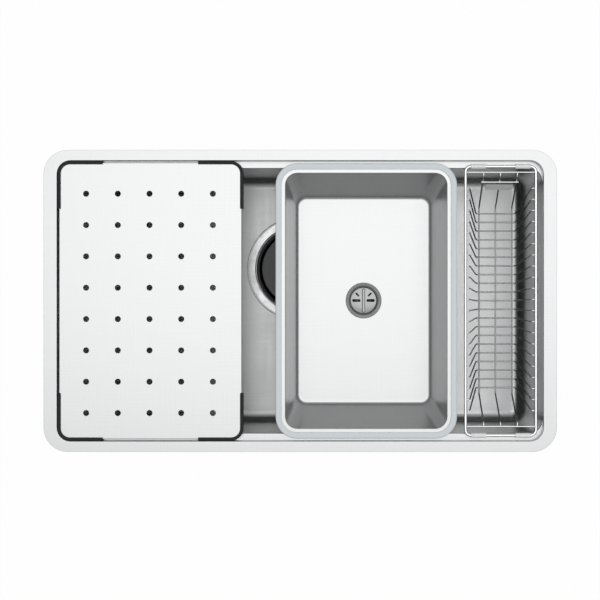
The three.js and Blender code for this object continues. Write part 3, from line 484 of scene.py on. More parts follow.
# %% [markdown]
# ## The bowl
# The bowl is one sheet of steel, pressed to a flat rim, a short wall, two ledges and a deep
# tub with a round-edged floor. It could be cut from a block, but a sheet has the same
# thickness everywhere, so it is modelled as a skin and thickened last.

# %% The rim and the recess
rim_top, ledge_top, floor_top = 0.003, -0.009, -0.227
rim_x, rim_y, rim_corner, rim_width = 0.425, 0.250, 0.040, 0.0175
end_widening = 0.0045
recess_x, recess_y = rim_x - rim_width - end_widening, rim_y - rim_width
recess_corner = rim_corner - rim_width


def on_edge(place, half_x, half_y, corner, x=0.0):
    """Whether a place lies on a rounded rectangle's outline, seen from above."""
    past_x = abs(place.x - x) - (half_x - corner)
    past_y = abs(place.y) - (half_y - corner)
    reach = math.hypot(past_x, past_y) if past_x > 0 and past_y > 0 else max(past_x, past_y)
    return near(reach, corner, 0.0004)


bowl = blank("bowl_pressing", rim_x, rim_y, rim_corner, rim_top)
bpy.ops.mesh.inset(thickness=rim_width)
in_inset = lambda place: on_edge(place, rim_x - rim_width, recess_y, recess_corner)
for side in (-1, 1):
    pick("VERT", lambda place, way: place.x * side > 0.3 and in_inset(place))
    bpy.ops.transform.translate(value=(-side * end_widening, 0, 0))
pick("FACE", lambda place, way: place.length < 0.01)
draw(z=ledge_top - rim_top)
bpy.ops.mesh.delete(type="ONLY_FACE")
print("rim edges:", pick("EDGE", lambda place, way: near(place.z, rim_top), True))

# %% [markdown]
# The ledges run along the front and the back only. The short walls are split first where the
# ledge will end, so that the new strip shares their corners. The inset has moved the round
# corners a little, so the place of the split is read from the sheet itself.

# %% The two ledges
ledge_width = 0.0125
mouth_y = recess_y - ledge_width
on_end_wall = lambda place: near(abs(place.x), recess_x, 0.00005)
end_walls = spots(lambda place: on_end_wall(place) and near(place.z, ledge_top))
corner_start = max(place.y for place in end_walls)
for side in (-1, 1):
    pick("FACE", lambda place, way: abs(way.z) < 0.5)
    split_y = side * (corner_start - ledge_width)
    bpy.ops.mesh.bisect(plane_co=(0, split_y, 0), plane_no=(0, 1, 0))
for side in (-1, 1):
    in_corner = lambda place: place.y * side > corner_start + 0.0005
    pick("EDGE", lambda place, way: near(place.z, ledge_top) and in_corner(place), True)
    draw(y=-side * ledge_width)
weld()
print("ledges drawn, corners start at", round(1000 * corner_start, 2), "mm")

# %% The deep tub
floor_bend, floor_margin = 0.017, 0.004
on_mouth = lambda place: on_edge(place, recess_x, mouth_y, recess_corner)
mouth_edges = pick("EDGE", lambda place, way: near(place.z, ledge_top) and on_mouth(place), True)
draw(z=floor_top - ledge_top)
bpy.ops.mesh.edge_face_add()
pick("EDGE", lambda place, way: near(place.z, floor_top))
bend(floor_bend, 8)
pick("FACE", lambda place, way: near(place.z, floor_top, 0.0001) and abs(way.z) > 0.99)
bpy.ops.mesh.inset(thickness=floor_margin)
print("tub drawn from", mouth_edges, "edges")

# %% [markdown]
# The drain sits in a shallow round step. A circle is laid into the floor, the floor is filled
# up to it, and its edge is drawn down and in.

# %% The step for the drain
at_drain = (-0.0035, 0.057)
round_steps = 96
step_radius, step_hole, step_depth = 0.0925, 0.0793, 0.003


def from_middle(place, middle):
    """How far a place is from a middle, seen from above."""
    return math.hypot(place.x - middle[0], place.y - middle[1])


def step_down(radius, hole, middle, level, depth):
    """Fills a flat floor up to a circle, and draws the circle down and in to a hole."""
    bpy.ops.mesh.delete(type="ONLY_FACE")
    bpy.ops.mesh.primitive_circle_add(vertices=round_steps, radius=radius, location=(*middle, level))
    pick("EDGE", lambda place, way: near(place.z, level), True)
    bpy.ops.mesh.fill()
    at_circle = lambda place: from_middle(place, middle) < radius + 0.0005
    pick("EDGE", lambda place, way: near(place.z, level) and at_circle(place), True)
    draw(z=-depth)
    draw()
    share = hole / radius
    bpy.ops.transform.resize(value=(share, share, 1), center_override=(*middle, level - depth))


step_down(step_radius, step_hole, at_drain, floor_top, step_depth)
print("drain step drawn")

# %% [markdown]
# Every edge of a pressing is a bend. Small radii catch the thin bright and dark lines that
# outline the ledges and the rim. The ledge's own bends stop where it runs out in the corners.

# %% The bends and the thickness
bowl_sheet, rim_drop, ledge_end = 0.0015, 0.0027, 0.4016
outline_bend, recess_bend, ledge_bend, foot_bend, step_bend = 0.0005, 0.0008, 0.0015, 0.0006, 0.0010
outline = lambda place: near(place.z, rim_top) and on_edge(place, rim_x, rim_y, rim_corner)
recess = lambda place: on_edge(place, recess_x, recess_y, recess_corner)
on_ledge = lambda place: near(place.z, ledge_top) and abs(place.x) < ledge_end
along_ledge = lambda way: level_way(way) and abs(way.y) < 0.95
round_step = lambda place: near(from_middle(place, at_drain), step_radius, 0.0005)
pick("EDGE", lambda place, way: outline(place), True)
draw(z=-rim_drop)
print("outline:", pick("EDGE", lambda place, way: outline(place)))
bend(outline_bend, 3)
print("recess:", pick("EDGE", lambda place, way: near(place.z, rim_top) and recess(place)))
bend(recess_bend, 4)
ledge_edges = pick("EDGE", lambda place, way: on_ledge(place) and on_mouth(place) and along_ledge(way))
bend(ledge_bend, 4)
foot_edges = pick("EDGE", lambda place, way: on_ledge(place) and recess(place) and along_ledge(way))
bend(foot_bend, 3)
print("ledge:", ledge_edges, "ledge foot:", foot_edges)
pick("EDGE", lambda place, way: near(place.z, floor_top) and round_step(place))
bend(step_bend, 3)
facing_up(rim_top)
modify(bowl, "SOLIDIFY", thickness=bowl_sheet, offset=-1, use_even_offset=False)
close(bowl, "sink", ["sink_bowl"], brushed_steel)

# %% [markdown]
# ## Turned parts
# Rings, cups, nuts and screws are turned on a lathe or pressed round. Half of the section is
# drawn point by point, each point pulled out of the last, and then spun. A cylinder would need
# every step cut into it; a spun section has its radii from the start.

# %% Turning a section
def drawn_line(name, places, closed):
    """A line through some places, in edit mode, each place pulled out of the last."""
    rest()
    bpy.ops.mesh.primitive_plane_add(size=0.001)
    part = bpy.context.object
    part.name = name
    bpy.ops.object.mode_set(mode="EDIT")
    bpy.ops.mesh.select_mode(type="VERT")
    bpy.ops.mesh.select_all(action="SELECT")
    bpy.ops.mesh.merge(type="CENTER")
    bpy.ops.transform.translate(value=places[0])
    for before, after in zip(places, places[1:]):
        bpy.ops.mesh.extrude_vertices_move(TRANSFORM_OT_translate={"value": after - before})
    if closed:
        ends = (places[0], places[-1])
        pick("VERT", lambda place, way: min((place - end).length for end in ends) < same_spot)
        bpy.ops.mesh.edge_face_add()
    return part


def turned(name, section, middle=(0, 0), steps=72, closed=True):
    """Spins half a section of (radius, height) or (radius, height, rounding) points."""
    places = [Vector((middle[0] + point[0], middle[1], point[1])) for point in section]
    part = drawn_line(name, places, closed)
    for spot, point in zip(places, section):
        if len(point) > 2:
            pick("VERT", lambda place, way: (place - spot).length < same_spot)
            bpy.ops.mesh.bevel(offset=point[2], segments=3, affect="VERTICES")
    bpy.ops.mesh.select_all(action="SELECT")
    bpy.ops.mesh.spin(steps=steps, angle=math.tau, center=(*middle, 0), axis=(0, 0, 1))
    facing_out()
    return part


def mm(*section):
    """A section written in millimetres, in metres."""
    return [tuple(number / 1000 for number in point) for point in section]


print("turning is ready")

# %% [markdown]
# ## The drain in the bowl
# A polished flange lies in the step, its throat and cup hang below, and a rubber ring and a
# lock ring clamp it from underneath. The cup is one turned skin.

# %% The drain's flange and cup
flange = turned("drain_flange", mm(
    (22.4, -322, 0.5), (23.9, -322, 0.5), (23.9, -292.5, 2), (70.5, -288.7, 3), (75.5, -248.5, 0.8),
    (79, -248.5, 0.5), (79, -227.9, 0.4), (90.3, -227.9, 0.2), (90.3, -226.7, 0.3),
    (78.5, -226.7, 0.4), (77.5, -227.6, 0.5), (77.5, -247), (74, -247, 0.5),
    (69.2, -287.2, 3), (22.4, -291, 1),
), at_drain, round_steps)
close(flange, "sink", ["drain_cup"], flange_steel)

# %% [markdown]
# The lock ring is turned by its six lugs. One lug is a block with soft outer edges, copied
# round.

# %% The lock ring with its six lugs
def block(name, size, place, edges_past, radius):
    """A block whose edges past a distance from the middle are rounded."""
    rest()
    bpy.ops.mesh.primitive_cube_add(size=1)
    made = bpy.context.object
    made.name = name
    bpy.ops.object.mode_set(mode="EDIT")
    bpy.ops.transform.resize(value=size)
    bpy.ops.transform.translate(value=place)
    pick("EDGE", lambda spot, way: spot.x > edges_past)
    bend(radius, 3)
    rest()
    return made


ring = turned("clamp_ring", mm(
    (79.3, -245.6, 0.5), (94, -245.6, 1), (94, -233.6, 1), (79.3, -233.6, 0.5),
), at_drain, round_steps)
lug = block("lug", (0.010, 0.014, 0.010), (0.095, 0, -0.2406), 0.094, 0.0015)
ring = joined([ring, copies_at(lug, [(*at_drain, turn) for turn in evenly(6)])], "clamp_ring")
close(ring, "sink", ["drain_lock_ring"], black_plastic)

# %% [markdown]
# The strainer basket hangs in the throat by its rim. Its floor is punched with three rings of
# holes. One punch is modelled, copied round and cut out in one go.

# %% The strainer basket
basket = turned("strainer_bucket", mm(
    (0, -282.7), (66.5, -282.7, 3), (72, -246.7, 0.5), (76.9, -246.7, 0.3), (76.9, -245.7, 0.3),
    (71, -245.7, 0.8), (65.5, -281.7, 2), (0, -281.7),
), at_drain, round_steps, closed=False)
basket_punch = turned("punch", mm(
    (0, -284), (3, -284), (3, -281.9), (3.3, -281.6), (3.3, -280), (0, -280),
), steps=16, closed=False)
basket_holes = []
for radius, count in ((0.056, 16), (0.040, 11), (0.024, 8)):
    for turn in evenly(count):
        out_x, out_y = radius * math.cos(turn), radius * math.sin(turn)
        basket_holes.append((at_drain[0] + out_x, at_drain[1] + out_y, 0))
cut(basket, copies_at(basket_punch, basket_holes))
post = turned("post", mm((0, -282), (4, -282), (4, -233, 0.8), (0, -233)), at_drain, 24, False)
basket = joined([basket, post], "strainer_bucket")
close(basket, "basket", ["strainer_basket"], black_plastic)

# %% [markdown]
# The lid drops over the basket's post, and its knob is what a finger and thumb take hold of.

# %% The lid and its knob
lid = turned("drain_lid", mm(
    (4.3, -240, 0.3), (5.8, -240, 0.3), (5.8, -228), (64.9, -228, 0.5), (64.9, -231.5, 0.4),
    (66.4, -231.5, 0.4), (66.4, -227.4, 0.6), (65.6, -226.5, 0.5), (3.1, -226.5, 0.3),
    (3.1, -229), (4.3, -229),
), at_drain, round_steps)
close(lid, "lid", ["strainer_lid"], dark_coat)
knob = turned("lid_knob", mm(
    (0, -229), (2.8, -229), (2.8, -226.2), (9, -226.2, 0.6), (7, -221.2, 2), (12, -218.2, 0.8),
    (11, -216.2, 0.8), (0, -216.2),
), at_drain, 48, False)
close(knob, "lid", ["strainer_knob"], dark_coat)

# %% [markdown]
# ## The waste outlet
# Below the cup a ribbed nut holds the tailpiece, with a washer between them.

# %% The outlet's nut and tailpiece
nut = turned("waste_nut", mm(
    (20.3, -329.9, 0.4), (31, -329.9, 1.2), (31, -307.9, 1), (24.2, -307.9, 0.5),
    (24.2, -326.9), (20.3, -326.9),
), at_drain, 64)
rib = block("rib", (0.004, 0.004, 0.020), (0.031, 0, -0.3199), 0.032, 0.0012)
nut = joined([nut, copies_at(rib, [(*at_drain, turn) for turn in evenly(10)])], "waste_nut")
close(nut, "sink", ["outlet_nut"], black_plastic)
tail = turned("waste_tail", mm(
    (18, -386.6, 0.4), (20, -386.6, 0.4), (20, -326.6, 0.5), (23.9, -326.6, 0.4),
    (23.9, -324.6, 0.4), (18, -324.6, 0.4),
), at_drain, 64)
close(tail, "sink", ["tailpiece"], black_plastic)

# %% [markdown]
# ## The draining tray
# A plate with its edge turned down, punched with 5 by 8 holes, stands on four rubber corners.
# The holes are cut with copies of one punch, whose slight flare leaves each hole a soft edge.

# %% The tray's plate
tray_x, tray_top = -0.2482, 0.0015
tray_half_x, tray_half_y, tray_corner = 0.1515, 0.2292, 0.018
tray_sheet, tray_lip, tray_bend = 0.0012, 0.008, 0.0014
columns, rows = 5, 8
pitch_x, pitch_y = 0.0525, 0.0519
holes_x, holes_y = tray_x - 0.0015, -0.0041
plate = blank("tray_sheet", tray_half_x, tray_half_y, tray_corner, tray_top, tray_x)
draw(z=-tray_lip)
bpy.ops.mesh.delete(type="ONLY_FACE")
pick("EDGE", lambda place, way: near(place.z, tray_top))
bend(tray_bend, 4)
facing_out()
modify(plate, "SOLIDIFY", thickness=tray_sheet, offset=-1, use_even_offset=True)
tray_punch = turned("punch", mm(
    (0, -6), (4.75, -6), (4.75, 1.1), (5.05, 1.5), (5.05, 4), (0, 4),
), steps=28, closed=False)
across = [holes_x + (column - (columns - 1) / 2) * pitch_x for column in range(columns)]
along = [holes_y + (row - (rows - 1) / 2) * pitch_y for row in range(rows)]
cut(plate, copies_at(tray_punch, [(x, y, 0) for x in across for y in along]))
close(plate, "tray", ["tray_plate"], plate_steel)

# %% [markdown]
# Each rubber corner is a channel that grips the plate's edge. The channel is modelled once, all
# the way round, and each corner is a copy with the rest of it cut off. Four mirrored corners
# would come to the same, but a mirror turns faces inside out.

# %% The rubber channel
grip, gap = 0.0025, 0.0003
grip_x, grip_y, grip_corner = tray_half_x + grip, tray_half_y + grip, tray_corner + grip
channel = blank("channel", grip_x, grip_y, grip_corner, rim_top, tray_x)
bpy.ops.mesh.inset(thickness=0.0055)
hollow_middle(tray_x)
draw(z=-0.0117)
on_grip = lambda place: near(place.z, rim_top) and on_edge(place, grip_x, grip_y, grip_corner, tray_x)
pick("EDGE", lambda place, way: on_grip(place) and level_way(way))
bend(0.0009, 3)
facing_out()
groove = blank("groove", tray_half_x + gap, tray_half_y + gap, tray_corner + gap, 0.0018, tray_x)
draw(z=-0.0086)
facing_out()
cut(channel, groove)
print("channel faces:", len(channel.data.polygons))

# %% The four rubber corners
corner_reach_x, corner_reach_y = 0.079, 0.1527
four_corners = (
    ("back_left", -1, 1), ("back_right", 1, 1), ("front_left", -1, -1), ("front_right", 1, -1),
)
for name, side_x, side_y in four_corners:
    guard = copy_of(channel, "rubber_corner_" + name)
    take(guard)
    bpy.ops.object.mode_set(mode="EDIT")
    end_x = (tray_x + side_x * corner_reach_x, 0, 0), (side_x, 0, 0)
    end_y = (0, side_y * corner_reach_y, 0), (0, side_y, 0)
    for end, way in (end_x, end_y):
        bpy.ops.mesh.select_all(action="SELECT")
        bpy.ops.mesh.bisect(plane_co=end, plane_no=way, use_fill=True, clear_inner=True)
    close(guard, "tray", ["tray_guard_" + name], black_rubber)
bpy.data.objects.remove(channel)

# %% [markdown]
# ## The rinsing basin
# A thin steel tub with sloping walls hangs in a moulded edge trim, which slides along the
# ledges. The tub is drawn like the bowl, and its walls are sloped by scaling the floor's
# outline.

# %% The basin's tub
basin_x, flange_top, basin_floor = 0.1095, -0.0015, -0.0965
at_basin = (basin_x, 0)
tub_x, tub_y, tub_corner, tub_flange = 0.1462, 0.2239, 0.0317, 0.0121
slope_x, slope_y = 0.8546, 0.8404
wall_x, wall_y, wall_corner = tub_x - tub_flange, tub_y - tub_flange, tub_corner - tub_flange
tub = blank("rinsing_tub", tub_x, tub_y, tub_corner, flange_top, basin_x)
bpy.ops.mesh.inset(thickness=tub_flange)
draw(z=basin_floor - flange_top)
bpy.ops.transform.resize(value=(slope_x, slope_y, 1), center_override=(*at_basin, basin_floor))
pick("EDGE", lambda place, way: near(place.z, basin_floor))
bend(0.004, 5)
pick("FACE", lambda place, way: abs(place.y) < 0.01 and abs(place.x - basin_x) < 0.01)
bpy.ops.mesh.inset(thickness=0.003)
step_down(0.0262, 0.0245, at_basin, basin_floor, 0.0003)
on_wall = lambda place: on_edge(place, wall_x, wall_y, wall_corner, basin_x)
pick("EDGE", lambda place, way: near(place.z, flange_top) and on_wall(place))
bend(0.0012, 4)
facing_up(flange_top)
modify(tub, "SOLIDIFY", thickness=0.001, offset=-1, use_even_offset=True)
close(tub, "basin", ["basin_tub"], plate_steel)

# %% [markdown]
# The trim is a moulded frame with a groove that the tub's flange snaps into. It has a wide
# round outside, which the hand meets, and a small one inside.

# %% The basin's edge trim
trim_top, trim_width, trim_height = 0.0008, 0.010, 0.0095
trim_x, trim_y, trim_corner = 0.1505, 0.2282, 0.036
inner_x, inner_y, inner_corner = trim_x - trim_width, trim_y - trim_width, trim_corner - trim_width
trim = blank("soft_edge_trim", trim_x, trim_y, trim_corner, trim_top, basin_x)
bpy.ops.mesh.inset(thickness=trim_width)
hollow_middle(basin_x)
draw(z=-trim_height)
on_top = lambda place, way: near(place.z, trim_top) and level_way(way)
outside = lambda place: on_edge(place, trim_x, trim_y, trim_corner, basin_x)
inside = lambda place: on_edge(place, inner_x, inner_y, inner_corner, basin_x)
pick("EDGE", lambda place, way: on_top(place, way) and outside(place))
bend(0.0022, 5)
pick("EDGE", lambda place, way: on_top(place, way) and inside(place))
bend(0.0006, 3)
facing_out()
groove = blank("groove", tub_x + gap, tub_y + gap, tub_corner + gap, -0.0012, basin_x)
draw(z=-0.0016)
facing_out()
cut(trim, groove)
close(trim, "basin", ["basin_edge_trim"], trim_plastic)

# %% [markdown]
# The basin has a drain of its own: a dished ring, a cup with a nut below, and a slotted plug
# with a bar to pull it by.

# %% The basin's drain and its nut
small_ring = turned("small_drain", mm(
    (14, -120.5, 0.4), (15.2, -120.5, 0.4), (24.2, -112.5, 1), (24.2, -96.2), (31, -96.2, 0.3),
    (30.6, -95.1, 0.6), (25.2, -95.6, 0.8), (23, -98, 0.5), (23, -101.5), (20, -101.5, 0.5),
    (20, -112.5, 1), (14, -118.5, 0.5),
), at_basin)
close(small_ring, "basin", ["basin_drain_cup"], ring_steel_painted_shade)
small_nut = turned("small_nut", mm(
    (24.5, -106.6, 0.4), (34, -106.6, 1), (34, -99.6, 1), (24.5, -99.6, 0.4),
), at_basin, 12)
close(small_nut, "basin", ["basin_drain_nut"], black_plastic, 20)

# %% [markdown]
# The plug is a shallow dome. Each slot's cutter is drawn at the right and turned round the
# middle, and all are cut out in one go. The bar stands on top.

# %% The slotted plug
plug = turned("slotted_plug", mm(
    (0, -101.2), (22.7, -101.2, 0.4), (22.7, -99.9, 0.4), (21, -99.5), (17, -98.9), (12, -98.5),
    (6, -98.2), (0, -98.1),
), at_basin, closed=False)
wide_slot, thin_slot = mm((5, 19.5, 2.5), (10.5, 19, 1.5))
slots = []
for turn, (start, end, half) in ((0, wide_slot), (44, thin_slot), (136, thin_slot), (180, wide_slot)):
    slot = blank("slot", (end - start) / 2, half, 0.95 * half, -0.104, (end + start) / 2, 6)
    draw(z=0.008)
    facing_out()
    rest()
    slot.rotation_euler.z = math.radians(turn)
    slot.location.x = basin_x
    settle(slot)
    slots.append(slot)
cut(plug, joined(slots, "slots"))
bar_foot, bar_height = -0.0995, 0.0058
bar = blank("bar", 0.0025, 0.0207, 0.002, bar_foot, basin_x, 5)
draw(z=bar_height)
pick("EDGE", lambda place, way: near(place.z, bar_foot + bar_height))
bend(0.0016, 4)
facing_out()
plug = joined([plug, bar], "slotted_plug")
close(plug, "plug", ["basin_plug"], plug_steel_painted_shade)

# %% [markdown]
# ## The dish rack
# The rack's frame and its grid are wire. A wire is drawn as a bent line, and the line is given
# its thickness as a curve, which keeps the wire round through each bend. The curve is then made
# a mesh.

# %% Bending a wire
def wire(name, points, radius, corner, closed=False, sides=3, steps=5):
    """A round wire through some points, its corners bent to a radius."""
    places = [Vector(point) for point in points]
    part = drawn_line(name, places, closed)
    bends = places if closed else places[1:-1]
    if bends:
        pick("VERT", lambda place, way: any((place - spot).length < same_spot for spot in bends))
        bpy.ops.mesh.bevel(offset=corner, segments=steps, affect="VERTICES")
    take(part)
    bpy.ops.object.convert(target="CURVE")
    part.data.bevel_depth = radius
    part.data.bevel_resolution = sides
    part.data.use_fill_caps = True
    bpy.ops.object.convert(target="MESH")
    bpy.ops.object.mode_set(mode="EDIT")
    facing_out()
    rest()
    return part


rack_x, rod_level, rack_y, rack_half = 0.333, -0.0047, 0.2233, 0.0584
rod_radius, rod_corner = 0.0025, 0.009
corners = ((rack_half, rack_y), (-rack_half, rack_y), (-rack_half, -rack_y), (rack_half, -rack_y))
frame_line = [(rack_x + x, y, rod_level) for x, y in corners]
rod = wire("rack_rod", frame_line, rod_radius, rod_corner, True, 5, 8)
close(rod, "rack", ["rack_frame"], rod_steel_painted_highlight)

# %% [markdown]
# The thin wires are welded under the rod. The 21 cross wires lean in towards their bottoms, so
# each has its own line. Three runners carry them, two straight wires close the ends, and a
# short one lies over the small plate.

# %% The rack's thin wires
thin = 0.00125
under_rod, bottom_level, runner_level, runner_end_level = -0.0062, -0.0647, -0.0668, -0.0068
weld_half, shoulder_half, bottom_half = 0.0568, 0.0514, 0.0335
top_pitch, bottom_pitch, top_shift = 0.0185, 0.01481, 0.0024
back_end, front_end, runner_foot = 0.2136, -0.2085, 0.1588
tip, tip_length = 0.0006, 0.0061
wires = []
for number in range(-10, 11):
    high, low = number * top_pitch + top_shift, number * bottom_pitch
    left = [(-weld_half, high, under_rod), (-shoulder_half, high, under_rod)]
    left += [(-bottom_half, low, bottom_level)]
    cross_line = left + [(-x, y, z) for x, y, z in reversed(left)]
    places = [(rack_x + x, y, z) for x, y, z in cross_line]
    wires.append(wire("cross_wire", places, thin, 0.0028, steps=4))
for x in (-0.028, 0, 0.028):
    runner_line = [(back_end - tip, runner_end_level), (back_end - tip_length, runner_end_level)]
    runner_line += [(runner_foot, runner_level), (-runner_foot, runner_level)]
    runner_line += [(front_end + tip_length, runner_end_level), (front_end + tip, runner_end_level)]
    places = [(rack_x + x, y, z) for y, z in runner_line]
    wires.append(wire("runner", places, thin, 0.0025, steps=4))
for y in (back_end, front_end):
    ends = [(rack_x + side * weld_half, y, rod_level) for side in (-1, 1)]
    wires.append(wire("end_wire", ends, thin, 0))
over_plate = [(rack_x + side * 0.031, 0.1980, -0.0147) for side in (-1, 1)]
wires.append(wire("plate_wire", over_plate, thin, 0))
wires = joined(wires, "rack_wire_basket")
close(wires, "rack", ["rack_wires"], wire_steel)

# %% [markdown]
# Four milky sleeves slip over the rod at its corners, so that it doesn't scratch the ledge, and
# a small bare plate is clipped to the runners at the back.

# %% The rack's sleeves
sleeve_x = 0.0369
sleeve_pattern = turned("sleeve_pattern", mm(
    (2.8, -12.5, 0.2), (4, -12.5, 0.5), (4, 12.5, 0.5), (2.8, 12.5, 0.2),
), steps=32)
for name, side_x, side_y in four_corners:
    sleeve = copy_of(sleeve_pattern, "milky_sleeve_" + name)
    sleeve.rotation_euler.y = math.pi / 2
    sleeve.location = (rack_x + side_x * sleeve_x, side_y * rack_y, rod_level)
    settle(sleeve)
    close(sleeve, "rack", ["rack_sleeve_" + name], sleeve_plastic)
bpy.data.objects.remove(sleeve_pattern)

# %% The rack's small plate
badge_thickness = 0.0008
badge = blank("rack_badge", 0.023, 0.006, 0.002, badge_thickness / 2, steps=5)
draw(z=-badge_thickness)
pick("EDGE", lambda place, way: level_way(way))
bend(0.00025, 2)
facing_out()
rest()
slope_rise, slope_run = 0.0600, 0.0487
badge.rotation_euler.x = math.atan2(slope_rise, slope_run)
badge.location = (rack_x, 0.1905, -0.0248)
settle(badge)
close(badge, "rack", ["rack_plate"], badge_steel)

# %% [markdown]
# ## Underneath
# From below, the sink shows its rubber pads, its hold-down clips and the rings that clamp its
# drains. The pads are cast slabs with soft edges.

# %% The sound-deadening pads
def pad(name, half_x, half_y, corner, stands_for, turn=(0, 0, 0), place=(0, 0, 0), bite=0):
    """A soft-edged slab that lies on its place, with a round bite out of it if one is wanted."""
    made = blank(name, half_x, half_y, corner, 0)
    draw(z=-0.0025)
    pick("EDGE", lambda spot, way: level_way(way))
    bend(0.0006, 2)
    facing_out()
    rest()
    made.rotation_euler = turn
    made.location = place
    settle(made)
    if bite:
        bite_section = [(0, -0.24), (bite, -0.24), (bite, -0.22), (0, -0.22)]
        cut(made, turned("bite", bite_section, at_drain, round_steps, False))
    close(made, "sink", [stands_for], pad_rubber)


quarter = math.pi / 2
outer_x, outer_y = 0.4048, 0.2218
pad_high, pad_low, pad_corner = -0.105, -0.203, 0.004
middle, half_height = (pad_high + pad_low) / 2, (pad_high - pad_low) / 2
long_half, short_half = 0.313, 0.130
for side, name in ((-1, "front"), (1, "back")):
    turn, place = (side * quarter, 0, 0), (0, side * outer_y, middle)
    pad("pad_" + name, long_half, half_height, pad_corner, "sound_pad_" + name, turn, place)
for side, name in ((-1, "left"), (1, "right")):
    turn, place = (0, -side * quarter, 0), (side * outer_x, 0, middle)
    pad("pad_" + name, half_height, short_half, pad_corner, "sound_pad_" + name, turn, place)
pad("pad_floor", 0.326, 0.188, 0.021, "sound_pad_floor", place=(0, 0, -0.2288), bite=0.1025)

# %% [markdown]
# A clip is a bent strip with a screw through it. Each length of clip is modelled once, and the
# others are copies, turned and put in place.

# %% The clip's strip and screw
def strip(reach):
    """A bent strip: its leg against x = 0, its arm along +X, with a hole for the screw."""
    past_hole, half_width, thickness, leg = 0.006, 0.011, 0.002, 0.032
    half_length = (reach + past_hole) / 2
    made = blank("strip", half_length, half_width, 0.0015, 0, half_length, 4)
    draw(z=-thickness)
    facing_out()
    pick("FACE", lambda place, way: way.z < -0.9)
    bpy.ops.mesh.bisect(plane_co=(thickness, 0, 0), plane_no=(1, 0, 0))
    pick("FACE", lambda place, way: way.z < -0.9 and place.x < thickness)
    draw(z=-leg)
    pick("EDGE", lambda place, way: near(place.x, 0, 0.0001) and near(place.z, 0, 0.0001))
    bend(0.0012, 3)
    facing_out()
    cut(made, turned("hole", mm((0, -4), (3.3, -4), (3.3, 2), (0, 2)), (reach, 0), 24, False))
    return made


def slotted_screw(reach):
    """A screw on its axis: a foot that presses on the worktop, a shank and a slotted head."""
    made = turned("screw", mm(
        (0, -16), (5.4, -16), (6, -15.4, 0.2), (6, -12.4, 0.4), (5.4, -12), (3, -12), (3, 28.7),
        (6, 29.7, 0.3), (6, 31.7, 0.4), (0, 31.7),
    ), (reach, 0), 32, False)
    slot = blank("slot", 0.007, 0.0006, 0.0001, -0.017, reach, 1)
    draw(z=0.0025)
    facing_out()
    cut(made, slot)
    return made


print("clips can be made")

# %% The eight clips
long_reach, short_reach, clip_level, clip_pitch = 0.0207, 0.0082, -0.062, 0.290
clip_spots = []
for side in (-1, 1):
    clip_spots += [(x, side * outer_y, side * 90, long_reach) for x in (-clip_pitch, 0, clip_pitch)]
clip_spots += [(-outer_x, 0, 180, short_reach), (outer_x, 0, 0, short_reach)]
patterns = {reach: (strip(reach), slotted_screw(reach)) for reach in (long_reach, short_reach)}
for number, (x, y, turn, reach) in enumerate(clip_spots, 1):
    for kind, pattern in zip(("bracket", "screw"), patterns[reach]):
        part = copy_of(pattern, "holding_" + kind + "_" + str(number))
        part.rotation_euler.z = math.radians(turn)
        part.location = (x, y, clip_level)
        settle(part)
        close(part, "sink", ["clip_" + kind + "_" + str(number)], zinc_plate)
for pair in patterns.values():
    for pattern in pair:
        bpy.data.objects.remove(pattern)

# %% [markdown]
# The seals are plain rings, nearly hidden between other parts. Their solids already have the
# right shape, so they only get their rubber.

# %% The rubber rings
for name in ("rim_seal", "drain_seal_upper", "drain_seal_lower", "outlet_washer", "basin_drain_seal"):
    soft_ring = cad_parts[name]
    soft_ring.data.materials.clear()
    soft_ring.data.materials.append(black_rubber)
    print(name, "is rubber")

# %% [markdown]
# ## Camera, light and floor
# The photo is taken from straight above, so the camera looks down with the sink's back at the
# top of the picture. A pale floor and a soft sky give steel something plain to mirror: bright
# overhead, darker towards the horizon, which is what makes upright walls dark. The camera itself
# sees that sky as plain white, so the background stays clean from every side.

# %% The camera
bpy.ops.object.camera_add(location=(-0.0004, 0.0152, 2.267), rotation=(0, 0, 0))
camera = bpy.context.object
camera.name = "camera"
camera.data.sensor_width = 36
camera.data.lens = 82.06
camera.data.shift_y = -0.0138
bpy.context.scene.camera = camera
print("camera lens:", camera.data.lens)

# %% The sky
brightest_way = Vector((0.05, 0.12, 1)).normalized()
brightness = ((0.0, 0.12), (0.55, 0.42), (0.85, 0.82), (0.955, 1.04), (1.0, 1.1))
sky_world = bpy.data.worlds.new("studio_sky")
bpy.context.scene.world = sky_world
sky_world.use_nodes = True
sky, sky_links = tree(sky_world)
direction = sky.new("ShaderNodeTexCoord")
height = sky.new("ShaderNodeVectorMath")
height.operation = "DOT_PRODUCT"
height.inputs[1].default_value = brightest_way
fade = sky.new("ShaderNodeValToRGB")
for place, glow_level in brightness[1:-1]:
    fade.color_ramp.elements.new(place)
for element, (place, glow_level) in zip(fade.color_ramp.elements, brightness):
    element.position = place
    element.color = (glow_level, glow_level, glow_level, 1)
sky_links.new(direction.outputs["Generated"], height.inputs[0])
sky_links.new(height.outputs["Value"], fade.inputs["Fac"])
sky_links.new(fade.outputs["Color"], sky["Background"].inputs["Color"])
print("sky steps:", len(fade.color_ramp.elements))

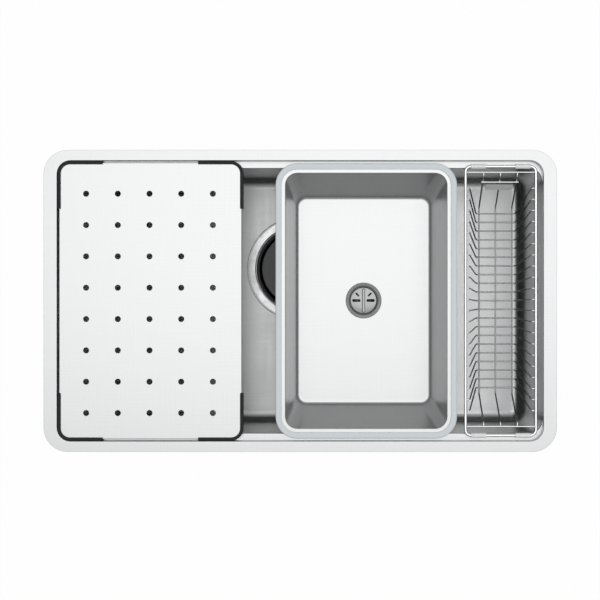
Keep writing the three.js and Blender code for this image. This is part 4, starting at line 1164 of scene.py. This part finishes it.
# %% The white that the camera sees
backdrop = sky.new("ShaderNodeBackground")
backdrop.inputs["Color"].default_value = (1, 1, 1, 1)
sky_paths = sky.new("ShaderNodeLightPath")
sky_blend = sky.new("ShaderNodeMixShader")
sky_links.new(sky_paths.outputs["Is Camera Ray"], sky_blend.inputs["Fac"])
sky_links.new(sky["Background"].outputs[0], sky_blend.inputs[1])
sky_links.new(backdrop.outputs[0], sky_blend.inputs[2])
sky_links.new(sky_blend.outputs[0], sky["World Output"].inputs["Surface"])
print("the camera sees white")

# %% The lamp
bpy.ops.object.light_add(type="AREA", location=(0.3, 0.48, 4.4), rotation=(-0.11, 0.07, 0))
lamp = bpy.context.object
lamp.name = "soft_lamp"
lamp.data.shape = "RECTANGLE"
lamp.data.size = 5.0
lamp.data.size_y = 2.8
lamp.data.energy = 37
print("lamp:", lamp.data.energy, "W")

# %% [markdown]
# The floor is nearly all glow to the camera and to mirrors, which is what a lit backdrop looks
# like, and the rest is plain white paint, which keeps a faint shadow of the sink.

# %% The floor
floor_level, floor_size, glow_share = -0.3868, 14, 0.975
rest()
bpy.ops.mesh.primitive_plane_add(size=floor_size, location=(0, 0, floor_level))
floor = bpy.context.object
floor.name = "studio_floor"
floor_finish = finish("studio_floor", (0.95, 0.95, 0.95), 0.7)
floor_nodes, floor_links = tree(floor_finish)


def either(first, second):
    """1 where a ray is of one kind or the other."""
    node = floor_nodes.new("ShaderNodeMath")
    node.operation = "MAXIMUM"
    floor_links.new(first, node.inputs[0])
    floor_links.new(second, node.inputs[1])
    return node.outputs[0]


paths = floor_nodes.new("ShaderNodeLightPath")
seen = either(paths.outputs["Is Camera Ray"], paths.outputs["Is Glossy Ray"])
seen = either(seen, paths.outputs["Is Transmission Ray"])
share = floor_nodes.new("ShaderNodeMath")
share.operation = "MULTIPLY"
share.inputs[1].default_value = glow_share
glow = floor_nodes.new("ShaderNodeEmission")
blend = floor_nodes.new("ShaderNodeMixShader")
floor_links.new(seen, share.inputs[0])
floor_links.new(share.outputs[0], blend.inputs["Fac"])
floor_links.new(floor_nodes["Principled BSDF"].outputs[0], blend.inputs[1])
floor_links.new(glow.outputs[0], blend.inputs[2])
floor_links.new(blend.outputs[0], floor_nodes["Material Output"].inputs["Surface"])
floor.data.materials.append(floor_finish)
bpy.context.scene.view_settings.view_transform = "Standard"
print("floor ready")
